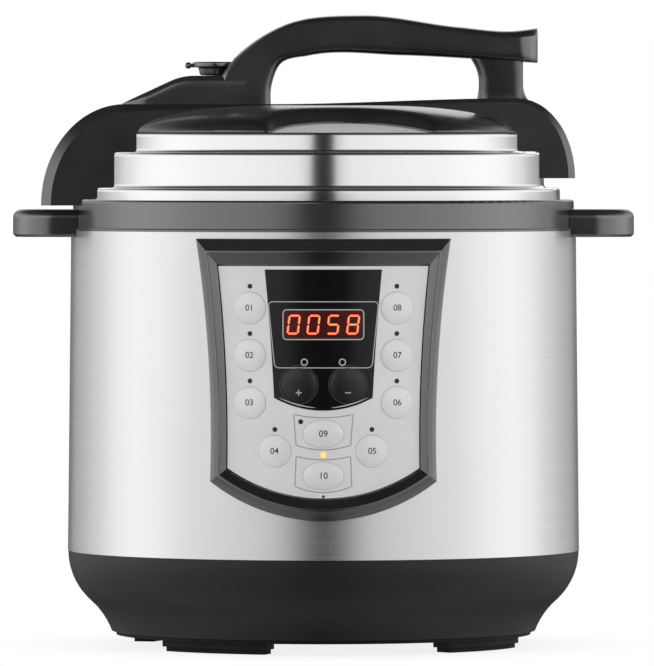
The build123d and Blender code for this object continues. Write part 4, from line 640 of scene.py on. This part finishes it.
def make_cap():
    """Cap on the dome. Its height is the lower of an elliptical shoulder and a 45 degree scoop at the
    front and back, and it ends where that height comes down to the steel."""
    angle = loop_angles(540)[:, None]
    over, under = 1.0, 0.2

    def top(radius):
        x, y = radius * np.sin(angle), -radius * np.cos(angle)
        shoulder = np.clip((radius - cap_flat) / (cap_radius - cap_flat), 0, 1)
        height = tier_tops[2] + (cap_top - tier_tops[2]) * np.sqrt(1 - shoulder**2)
        for sign in (1, -1):
            away_x, away_y = x - sign * scoop_middle[0], y - sign * scoop_middle[1]
            away = np.hypot(away_x, away_y)
            ellipse = np.hypot(away_x / scoop_size[0], away_y / scoop_size[1])
            slope = tier_tops[2] + away * (1 - 1 / np.maximum(ellipse, 1e-6))
            height = (height + slope - np.sqrt((height - slope) ** 2 + scoop_blend)) / 2
        return height

    tries = np.linspace(30, cap_radius, 400)[None, :]
    bare = top(tries) < dome_height(tries) + over
    bare[:, -1] = True
    edge = tries[0][np.argmax(bare, 1)][:, None]
    share = 1 - np.linspace(1, 0, 50)[None, :] ** 1.6
    above = edge * share
    below = edge * np.linspace(1, 0, 8)[None, :]
    radius = np.concatenate([above, below], 1)
    upper = np.maximum(top(above), dome_height(above) + over)
    height = np.concatenate([upper, dome_height(below) + under], 1)
    grid = np.stack([radius * np.sin(angle), -radius * np.cos(angle), height], -1)
    return grid.transpose(1, 0, 2)


pillar_left, pillar_right = 84.0, 107.7
pillar_low, pillar_waist, pillar_top = 284.0, 303.0, 318.0
pillar_half_depth = 13.0
# Quarter ellipse at the foot: how far it runs out to the right, and how high it is
foot_run, foot_rise = 10.5, 12.5


def make_pillar():
    """Pillar under the grip: rounded sections whose left side is drawn in and whose foot runs out
    to the right in a quarter ellipse."""
    turn = np.linspace(pi / 2, 0, 24)
    shaft = np.linspace(pillar_waist, pillar_top, 12)[1:]
    height = np.concatenate([[pillar_low], pillar_waist - foot_rise * np.sin(turn), shaft])
    foot = np.concatenate([[1.0], 1 - np.cos(turn), np.zeros(11)])
    flare = 4.5 * np.clip((height - 304) / 13, 0, 1) ** 2
    toe = 1.5 * np.clip((304 - height) / 12, 0, 1) ** 2
    left = pillar_left - flare - toe
    right = pillar_right + foot_run * foot
    angle = loop_angles(64)[None, :]
    power = 2 / 7
    along = np.sign(np.cos(angle)) * np.abs(np.cos(angle)) ** power
    over = np.sign(np.sin(angle)) * np.abs(np.sin(angle)) ** power
    x = ((left + right) / 2)[:, None] + ((right - left) / 2)[:, None] * along
    y = (pillar_half_depth + 3.0 * foot**2)[:, None] * over
    return with_ends(np.stack([x, y, height[:, None] + 0 * x], -1))


# Lid handle: ridge with the valve platform, leg and arched grip

handle_low, handle_high = across_box("lid_handle")
valve_x = -58.6
platform = 307.5
pocket_radius = 14.5
grip_half_depth = 16.0
grip_edge = 3.0
# Far end of the grip, rounded in plan: its length, and how far its sides come in
grip_end, grip_end_in = 11.0, 9.0
# Ridge: its foot, the top of its tip, where it meets the platform, and the length of its tip
ridge_low, ridge_tip_top, ridge_meets, ridge_tip = 290.5, 292.6, -76.5, 14.0
grip_top = [
    (-57.5, 288.0),
    (-56.4, 307.5),
    (-42.4, 322.4),
    (-20.8, 335.2),
    (21.0, handle_high[2] - 0.06),
    (72.6, 334.0),
    (103.0, 331.8),
    (handle_high[0], 333.3),
]
grip_under = [
    (-28.5, 288.0),
    (-28.0, 303.0),
    (-23.0, 314.3),
    (-8.0, 318.5),
    (42.0, 318.7),
    (84.0, 316.6),
    (handle_high[0], 314.5),
]


def flowing(points, samples):
    """Cubic curve through points, with slopes taken from their neighbours, at shares of its length."""
    points = np.asarray(points, float)
    run = np.concatenate([[0], np.cumsum(np.linalg.norm(np.diff(points, axis=0), axis=1))])
    slope = np.gradient(points, run, axis=0)
    place = np.asarray(samples) * run[-1]
    span = np.clip(np.searchsorted(run, place, side="right") - 1, 0, len(run) - 2)
    width = (run[span + 1] - run[span])[:, None]
    t = (place - run[span])[:, None] / width
    return (
        (1 + 2 * t) * (1 - t) ** 2 * points[span]
        + t * (1 - t) ** 2 * width * slope[span]
        + t**2 * (3 - 2 * t) * points[span + 1]
        + t**2 * (t - 1) * width * slope[span + 1]
    )


def clear_pocket(points):
    """Points above the platform and near the valve's axis moved out to the pocket's wall."""
    away = points[..., :2] - (valve_x, 0.0)
    distance = np.linalg.norm(away, axis=-1, keepdims=True)
    inside = (points[..., 2:] > platform + 0.05) & (distance < pocket_radius)
    moved = (valve_x, 0.0) + away * pocket_radius / np.maximum(distance, 1e-6)
    return np.concatenate([np.where(inside, moved, points[..., :2]), points[..., 2:]], -1)


def make_grip():
    """Leg and grip: sections between the upper and the lower outline, with rounded lower edges, a
    crease below the top and a crowned back; the far end is rounded off in plan."""
    share = np.linspace(0, 1, 150) ** 0.9
    share = np.concatenate([share[:-1], 1 - (1 - share[-2]) * np.linspace(1, 0, 12)[1:] ** 2])
    top, under = flowing(grip_top, share), flowing(grip_under, share)
    tall = np.linalg.norm(top - under, axis=1)[:, None]
    end = np.clip((top[:, :1] - (handle_high[0] - grip_end)) / grip_end, 0, 1)
    half = grip_half_depth - grip_end_in * (1 - np.sqrt(1 - end**2))
    arc = np.linspace(0, pi / 2, 6)[None, :]
    low_in, low_up = grip_edge * (1 - np.sin(arc)), grip_edge * (1 - np.cos(arc))
    side_up = grip_edge + (tall - 7.0) * np.linspace(0, 1, 6)[None, 1:]
    back_in = np.array([[1.2, 3.2, 6.0, 10.0]])
    back_up = tall - np.array([[2.8, 1.5, 0.6, 0.15]])
    inwards = np.concatenate([low_in + 0 * tall, 0 * side_up, back_in + 0 * tall], 1)
    up = np.concatenate([low_up + 0 * tall, side_up, back_up], 1)
    front = -(half - np.minimum(inwards, 0.9 * half))
    y = np.concatenate([front, 0 * tall, -front[:, ::-1], 0 * tall], 1)
    up = np.concatenate([up, tall, up[:, ::-1], 0 * tall], 1)
    place = under[:, None, :] + (top - under)[:, None, :] * (up / tall)[..., None]
    return clear_pocket(with_ends(np.stack([place[..., 0], y, place[..., 1]], -1)))


def make_ridge():
    """Ridge: sections along the lid that rise to the platform, as deep as the leg that they run into."""
    x = np.union1d(np.linspace(handle_low[0], -42.0, 90), [-77.0, -74.0])[:, None]
    corners = [(handle_low[0], ridge_tip_top), (ridge_meets, platform), (-20.0, platform)]
    outline = rounded(corners, 7.0, 8)
    top = np.interp(x, outline[:, 0], outline[:, 1])
    low = ridge_low
    tip = np.clip((handle_low[0] + ridge_tip - x) / ridge_tip, 0, 1)
    base = grip_half_depth + 0.3 - 8.0 * (1 - np.sqrt(1 - tip**2))
    crown = base - 0.01 * (top - low)
    arc = np.linspace(0, pi / 2, 7)[None, :]
    soft = np.minimum(4.0, 0.45 * (top - low))
    wall = np.linspace(0, 1, 7)[None, :]
    wall_y = base + (crown - base) * wall
    wall_z = low + (top - soft - low) * wall
    round_y = crown - soft * (1 - np.cos(arc[:, 1:]))
    round_z = top - soft * (1 - np.sin(arc[:, 1:]))
    half_y = np.concatenate([wall_y, round_y], 1)
    half_z = np.concatenate([wall_z, round_z], 1)
    y = np.concatenate([0 * x, -half_y, 0 * x, half_y[:, ::-1]], 1)
    z = np.concatenate([low + 0 * x, half_z, top, half_z[:, ::-1]], 1)
    return clear_pocket(with_ends(np.stack([x + 0 * y, y, z], -1)))


# Opening that the float valve rises through

float_low, float_high = across_box("float_pin")
float_middle = (float_low + float_high)[:2] / 2
float_well = 4.6


def pierce(piece, middle, radius):
    """Round opening through a piece: an upright rod is taken away from it."""
    rod = turned([(0, 200.0), (radius, 200.0), (radius, 400.0), (0, 400.0)], 64) + (*middle, 0.0)
    cutter = make_piece("opening_rod", [rod], "cover_plastic", "lid")
    cut = piece.modifiers.new("opening", "BOOLEAN")
    cut.operation = "DIFFERENCE"
    cut.solver = "EXACT"
    cut.object = cutter
    bpy.context.view_layer.update()
    seen_now = bpy.context.evaluated_depsgraph_get()
    mesh = bpy.data.meshes.new_from_object(piece.evaluated_get(seen_now))
    mesh.name = piece.name
    piece.modifiers.clear()
    piece.data = mesh
    bpy.data.objects.remove(cutter)


# Steam valve knob


def make_knob():
    """Stem and disc turned about the valve's axis, with a lever that ends in a small ball."""
    low, high = across_box("valve_knob")
    foot, top = low[2], high[2]
    profile = [(0, top), (12.0, top), (12.0, top - 3.0), (9.0, top - 3.0), (8.2, foot), (0, foot)]
    disc = turned(rounded(profile, 1.0, 5), 72) + (valve_x, 0, 0)
    ball = np.linspace(-0.9, pi / 2, 12)
    reach = np.concatenate([np.linspace(6.0, 12.8, 10), 14.4 + 1.8 * np.sin(ball)])[:, None]
    thick = np.concatenate([np.full(10, 1.1), 1.8 * np.cos(ball)])[:, None]
    angle = loop_angles(24)[None, :]
    middle = top - 1.9
    lever = [valve_x - reach + 0 * angle, thick * np.cos(angle), middle + thick * np.sin(angle)]
    grids = [disc, with_ends(np.stack(lever, -1))]
    return make_piece("valve_knob_shell", grids, "black_plastic", "valve", ["valve_knob"])


make_lid()
cover_arms = make_piece("lid_cover_arms", [make_arms()], "cover_plastic", "lid", ["lid_cover"], soften=0.5)
cover_cap = make_piece("lid_cover_cap", [make_cap()], "cover_plastic", "lid", ["lid_cover"], soften=0.5)
make_piece("lid_cover_pillar", [make_pillar()], "cover_plastic", "lid", ["lid_cover"])
cover_arms.visible_glossy = False
pierce(cover_arms, float_middle, float_well)
pierce(cover_cap, float_middle, float_well)
make_piece("lid_handle_shell", [make_grip(), make_ridge()], "black_plastic", "lid", ["lid_handle"])
make_knob()


# Control panel: everything on it is laid out by x and height as seen from the front

fascia_radius = 142.1
lens_radius = -across_box("display_window")[0][1]


def on_panel(x, height, radius):
    """Place on an upright cylinder of the panel that shows at x from the front."""
    return np.stack([x, -np.sqrt(radius**2 - x**2), height], -1)


def rounded_box(half_top, half_bottom, top, bottom, corner):
    """Closed outline with straight sides that may lean and rounded corners."""
    corners = [(half_top, top), (-half_top, top), (-half_bottom, bottom), (half_bottom, bottom)]
    outline = rounded(corners, corner, 7, closed=True)
    return stepped(np.concatenate([outline, outline[:1]]), 1.5)[1][:-1]


def strip(path, width, rise, radius):
    """Closed line of a width on the panel: the path moved to both sides, raised a little."""
    along = np.roll(path, -1, 0) - np.roll(path, 1, 0)
    out = np.stack([along[:, 1], -along[:, 0]], 1) / np.linalg.norm(along, axis=1, keepdims=True)
    left, right = path + out * width / 2, path - out * width / 2
    edges = [(left, -0.1), (left, rise), (right, rise), (right, -0.1), (left, -0.1)]
    return np.stack([on_panel(*side.T, radius + lift) for side, lift in edges])


def plate(outline, rise, radius, rings=4):
    """Filled outline on the panel: copies shrunk to its middle, raised a little, closed below."""
    middle = outline.mean(0)
    share = np.concatenate([np.linspace(0, 1, rings), [1, 0]])[:, None, None]
    lift = np.concatenate([np.full(rings, rise), [-0.1, -0.1]])[:, None]
    spot = middle + (outline - middle)[None] * share
    return on_panel(spot[..., 0], spot[..., 1], radius + lift)


def panel_axes(x):
    """Sideways and outward direction of the panel where a button sits."""
    across = x / fascia_radius
    along = np.sqrt(1 - across**2)
    return np.array([along, across, 0.0]), np.array([across, -along, 0.0])


button_rise = 0.95
stem_radius = 2.2


def button_crown(share):
    """Height of a button's crown above the fascia, by the share of its radius."""
    return 0.15 + button_rise * np.clip(1 - share**2.4, 0, 1) ** 0.85


def make_button(node, x, height, half_across, half_up, finish):
    """Domed cap with its skirt and stem, turned about the panel's outward direction."""
    sideways, outward = panel_axes(x)
    stem_end = (stem_radius * abs(outward[0]) - across_box(node)[1][1]) / -outward[1]
    share = np.linspace(0, 1, 26)
    lift = np.concatenate([button_crown(share), [-0.4, -0.4], [stem_end - fascia_radius] * 2])
    angle = loop_angles(64)[None, :]
    wide = np.concatenate([half_across * share, [half_across, stem_radius, stem_radius, 0.0]])[:, None]
    tall = np.concatenate([half_up * share, [half_up, stem_radius, stem_radius, 0.0]])[:, None]
    u, v = wide * np.cos(angle), tall * np.sin(angle)
    grid = u[..., None] * sideways + (fascia_radius + lift)[:, None, None] * outward
    grid = grid + np.stack([0 * v, 0 * v, height + v], -1)
    return make_piece(node + "_cap", [grid], finish, node + "_body", [node])


def make_mark(name, words, x, height, size, half_across, half_up, body, finish, drop=0.0):
    """Printed sign on a button: flat letters laid on the crown, a hair above it."""
    data = bpy.data.curves.new(name, "FONT")
    data.body = words
    data.size = size
    data.align_x = "CENTER"
    data.align_y = "CENTER"
    data.extrude = 0.03
    data.offset = 0.02
    draft = bpy.data.objects.new(name + "_draft", data)
    bpy.context.scene.collection.objects.link(draft)
    bpy.context.view_layer.update()
    mesh = bpy.data.meshes.new_from_object(draft.evaluated_get(bpy.context.evaluated_depsgraph_get()))
    bpy.data.objects.remove(draft)
    spots = np.empty(len(mesh.vertices) * 3)
    mesh.vertices.foreach_get("co", spots)
    u, v, lift = spots.reshape(-1, 3).T
    v = v - drop
    share = np.hypot(u / half_across, v / half_up)
    sideways, outward = panel_axes(x)
    away = fascia_radius + button_crown(share) + 0.03 + lift
    place = u[:, None] * sideways + away[:, None] * outward
    place[:, 2] += height + v
    mesh.vertices.foreach_set("co", (place * MM).ravel())
    mesh.update()
    mesh.name = name
    mesh.materials.clear()
    mesh.materials.append(finishes[finish])
    piece = bpy.data.objects.new(name, mesh)
    bpy.context.scene.collection.objects.link(piece)
    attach(piece, body)


column_x, low_x = 38.6, 25.5
column_heights, low_height = (184.3, 159.4, 134.5), 109.1
round_places = [(-column_x, height) for height in column_heights]
round_places += [(-low_x, low_height), (low_x, low_height)]
round_places += [(column_x, height) for height in reversed(column_heights)]
round_half = (8.5, 8.5)
oval_places = {"mode_button_upper": 118.2, "mode_button_lower": 96.1}
oval_half = (10.7, 7.4)
key_places = {"plus_button": -12.9, "minus_button": 12.9}
key_height, key_radius = 144.1, 9.4
round_text, oval_text, sign_text, sign_drop = 4.6, 4.8, 6.5, 4.6

for number, (x, height) in enumerate(round_places, 1):
    node = f"menu_button_{number}"
    make_button(node, x, height, *round_half, "button_silver")
    place = (x, height, round_text, *round_half)
    make_mark(f"numeral_{number}", f"{number:02d}", *place, node + "_body", "print_dark")
for number, (node, height) in enumerate(oval_places.items(), 9):
    make_button(node, 0.0, height, *oval_half, "button_silver")
    place = (0.0, height, oval_text, *oval_half)
    make_mark(f"numeral_{number}", f"{number:02d}", *place, node + "_body", "print_dark")
for node, sign in (("plus_button", "+"), ("minus_button", "−")):
    x = key_places[node]
    half = (key_radius, key_radius)
    make_button(node, x, key_height, *half, "key_black")
    place = (x, key_height, sign_text, *half)
    make_mark(node + "_sign", sign, *place, node + "_body", "print_pale", sign_drop)


# Read-out in the display window

read_out_height = 175.6
digit_size = (5.4, 9.4)
digit_pitch = 10.4
digit_lean = 0.12
bar, bar_core = 1.25, 0.6
bar_gap = 0.18
# Bars of a digit: middle across, middle up, and whether it stands, as shares of the digit's half size
bars = {
    "top": (0, 1, False),
    "upper_right": (1, 0.5, True),
    "lower_right": (1, -0.5, True),
    "bottom": (0, -1, False),
    "lower_left": (-1, -0.5, True),
    "upper_left": (-1, 0.5, True),
    "middle": (0, 0, False),
}
zero = set(bars) - {"middle"}
five = {"top", "upper_left", "middle", "lower_right", "bottom"}
shown = [zero, zero, five, set(bars)]


def bar_outline(digit, name, thickness):
    """Six-cornered bar of a leaning digit, with its ends cut to points."""
    across, up, stands = bars[name]
    half = np.array(digit_size) / 2
    reach = (half[1] / 2 if stands else half[0]) - bar_gap
    thick = thickness / 2
    tip, flat = reach, reach - thick
    outline = np.array([(-tip, 0), (-flat, thick), (flat, thick), (tip, 0), (flat, -thick), (-flat, -thick)])
    if stands:
        outline = outline[:, ::-1]
    outline = outline + np.array([across, up]) * half
    middle = (digit - 1.5) * digit_pitch
    x, z = outline.T
    return np.stack([middle + x + digit_lean * z, read_out_height + z], 1)


def bar_plates(spots, thickness, rise):
    """Plates of the given bars of the digits, on the window."""
    return [plate(bar_outline(*spot, thickness), rise, lens_radius, 2) for spot in spots]


lit = [(digit, name) for digit, names in enumerate(shown) for name in bars if name in names]
unlit = [(digit, name) for digit, names in enumerate(shown) for name in bars if name not in names]
read_out = rounded_box(20.6, 20.6, read_out_height + 7.2, read_out_height - 7.2, 1.6)
# Ground and unlit bars of the read-out glow faintly: painted glow
make_piece("read_out_ground", [plate(read_out, 0.02, lens_radius, 16)], "read_out_ground_painted_glow", "root")
make_piece("read_out_unlit_painted_glow", bar_plates(unlit, bar, 0.04), "read_out_unlit_painted_glow", "root")
make_piece("read_out_glow", bar_plates(lit, bar, 0.04), "read_out_glow", "root")
make_piece("read_out_core", bar_plates(lit, bar_core, 0.06), "read_out_core", "root")


# Printed lines and rings, and a painted highlight along the window's foot

lens_half, lens_corner, lens_bottom = 25.7, 137.3, 130.6


def lens_foot_highlight(side):
    """Painted highlight: pale line along the round foot of the window, on one side, that thins out to both
    ends, for the light that the window's edge catches.
    """
    x = np.linspace(4.0, 23.5, 40)
    drop = lens_corner - lens_bottom
    curve = (lens_half**2 + drop**2) / (2 * drop)
    z = lens_bottom + 1.2 + curve - np.sqrt(curve**2 - x**2)
    half = 0.04 + 0.3 * np.sin(pi * (x - x[0]) / (x[-1] - x[0])) ** 0.7
    edges = [(z - half, -0.1), (z - half, 0.05), (z + half, 0.05), (z + half, -0.1)]
    return with_ends(np.stack([on_panel(side * x, edge, lens_radius + lift) for edge, lift in edges], 1))


read_out_frame = rounded_box(21.2, 21.2, read_out_height + 7.8, read_out_height - 7.8, 2.2)
window_frame = rounded_box(29.0, 25.6, 187.6, 152.9, 2.6)
turn = loop_angles(40)
circle = np.stack([np.cos(turn), np.sin(turn)], 1)
light_ring = 1.6 * circle
make_piece(
    "window_lines",
    [
        strip(read_out_frame, 0.6, 0.05, lens_radius),
        strip(window_frame, 0.5, 0.05, lens_radius),
        strip(light_ring + (-10.0, 155.9), 0.65, 0.05, lens_radius),
        strip(light_ring + (10.0, 155.9), 0.65, 0.05, lens_radius),
        # The last two strips are a painted highlight along the window's foot, not print
        lens_foot_highlight(1),
        lens_foot_highlight(-1),
    ],
    "print_pale",
    "root",
    crease=50,
)
key_ring = (key_radius + 0.7) * circle
make_piece(
    "key_rings",
    [strip(key_ring + (x, key_height), 0.4, 0.03, lens_radius) for x in key_places.values()],
    "print_dim",
    "root",
    crease=50,
)
# Painted shade: a flat dark disc stands for the inside of a small pin hole in the fascia, which is not cut
pin_hole = 0.8 * circle
make_piece("fascia_pin_hole_painted_shade", [plate(pin_hole + (0.0, 85.2), 0.02, fascia_radius, 3)], "print_dark", "root")


def sagging_box(half_top, half_bottom, top, bottom, sag):
    """Closed outline whose top and bottom hang down in the middle by a parabola."""
    share = np.linspace(-1, 1, 25)
    upper = np.stack([-half_top * share, top - sag[0] * (1 - share**2)], 1)
    lower = np.stack([half_bottom * share, bottom - sag[1] * (1 - share**2)], 1)
    return np.concatenate([upper, lower])


make_piece(
    "mode_button_lines",
    [
        strip(sagging_box(15.6, 14.3, 128.5, 112.3, (1.8, 2.5)), 0.55, 0.04, fascia_radius),
        strip(sagging_box(14.3, 14.9, 106.4, 90.6, (1.8, 3.2)), 0.55, 0.04, fascia_radius),
    ],
    "print_grey",
    "root",
    crease=50,
)


# Bezel round the panel

bezel_outer = np.array([67.3, 59.8, 3.0, 220.6, 92.7, 72.3])
bezel_inner = np.array([55.8, 51.0, 1.7, 206.8, 99.5, 83.8])
bezel_section = [(0, 135.5), (0, 139.8), (0.48, 146.4), (1, 142.7), (1, 139.5)]


def shield(half_top, half_bottom, bow, top, corner, bottom):
    """Closed outline of the panel: flat top, sides bowed in by a parabola, round foot."""
    share = np.linspace(0, 1, 40, endpoint=False)
    back = 1 - share
    right = half_top + (half_bottom - half_top) * share - 4 * bow * share * (1 - share)
    left = half_top + (half_bottom - half_top) * back - 4 * bow * back * (1 - back)
    across = half_bottom * (1 - 2 * share)
    drop = corner - bottom
    curve = (half_bottom**2 + drop**2) / (2 * drop)
    foot = bottom + curve - np.sqrt(curve**2 - across**2)
    x = np.concatenate([half_top * (2 * share - 1), right, across, -left])
    z = np.concatenate([top + 0 * share, top + (corner - top) * share, foot, top + (corner - top) * back])
    return x, z


def make_bezel():
    """Section of a wall, an outer and an inner slope with a soft crest, carried round the outline."""
    wide = 12.0
    section = rounded([(share * wide, radius) for share, radius in bezel_section], (0, 0.8, 1.2, 0.6, 0), 6)
    section = np.concatenate([section, section[:1]])
    rings = []
    for inwards, radius in section:
        x, z = shield(*(bezel_outer + (bezel_inner - bezel_outer) * inwards / wide))
        rings.append(on_panel(x, z, radius))
    grid = np.stack(rings)
    return make_piece("panel_bezel_shell", [grid], "bezel_plastic", "root", ["panel_bezel"], crease=25)


make_bezel()


# Cooking pot: pressed alloy outside, dark coating inside

pot_low, pot_high = across_box("inner_pot")
pot_rim, pot_wall, pot_floor, pot_corner = 5.9, 1.5, 2.5, 14.0
coating = 0.15


def make_pot():
    """Wall with its rim and the coating inside it, both turned; the level marks are blocks of a ring."""
    wall = pot_high[0] - pot_rim
    inside = wall - pot_wall
    foot, top = pot_low[2], pot_high[2]
    floor = foot + pot_floor
    shell = rounded(
        [
            (0, foot),
            (wall, foot),
            (wall, top - pot_wall),
            (pot_high[0], top - pot_wall),
            (pot_high[0], top),
            (inside + coating, top),
            (inside + coating, floor - coating),
            (0, floor - coating),
        ],
        (0, pot_corner, 0.8, 0.6, 0.6, 0.3, pot_corner - pot_wall, 0),
        8,
    )
    lining = rounded(
        [
            (0, floor),
            (inside, floor),
            (inside, top - 0.4),
            (inside + coating / 2, top - 0.4),
            (inside + coating / 2, floor - coating / 2),
            (0, floor - coating / 2),
        ],
        (0, pot_corner - pot_wall, 0, 0, pot_corner - pot_wall, 0),
        8,
    )
    make_piece("pot_shell", [turned(shell)], "pot_alloy", "pot", ["inner_pot"])
    make_piece("pot_lining", [turned(lining)], "pot_coating", "pot", ["inner_pot"])
    heights = floor + 24.0 + 11.0 * np.arange(10)
    marks = [
        ring_block(inside - 0.05, inside + 0.05, height, height + 0.7, 180.0, 4.0 if number % 2 else 2.0)
        for number, height in enumerate(heights)
    ]
    make_piece("pot_marks", marks, "print_pale", "pot")


make_pot()


# Lip under the collar


def make_collar_lip():
    """Bead where the collar meets the steel, turned from a small rounded section."""
    low = collar_low[2] + 8.0
    section = rounded([(135.2, low), (136.3, low), (136.3, low + 1.2), (135.2, low + 1.6)], 0.35, 4)
    bead = turned(np.concatenate([section, section[:1]]))
    return make_piece("collar_lip", [bead], "black_plastic", "root")


make_collar_lip()
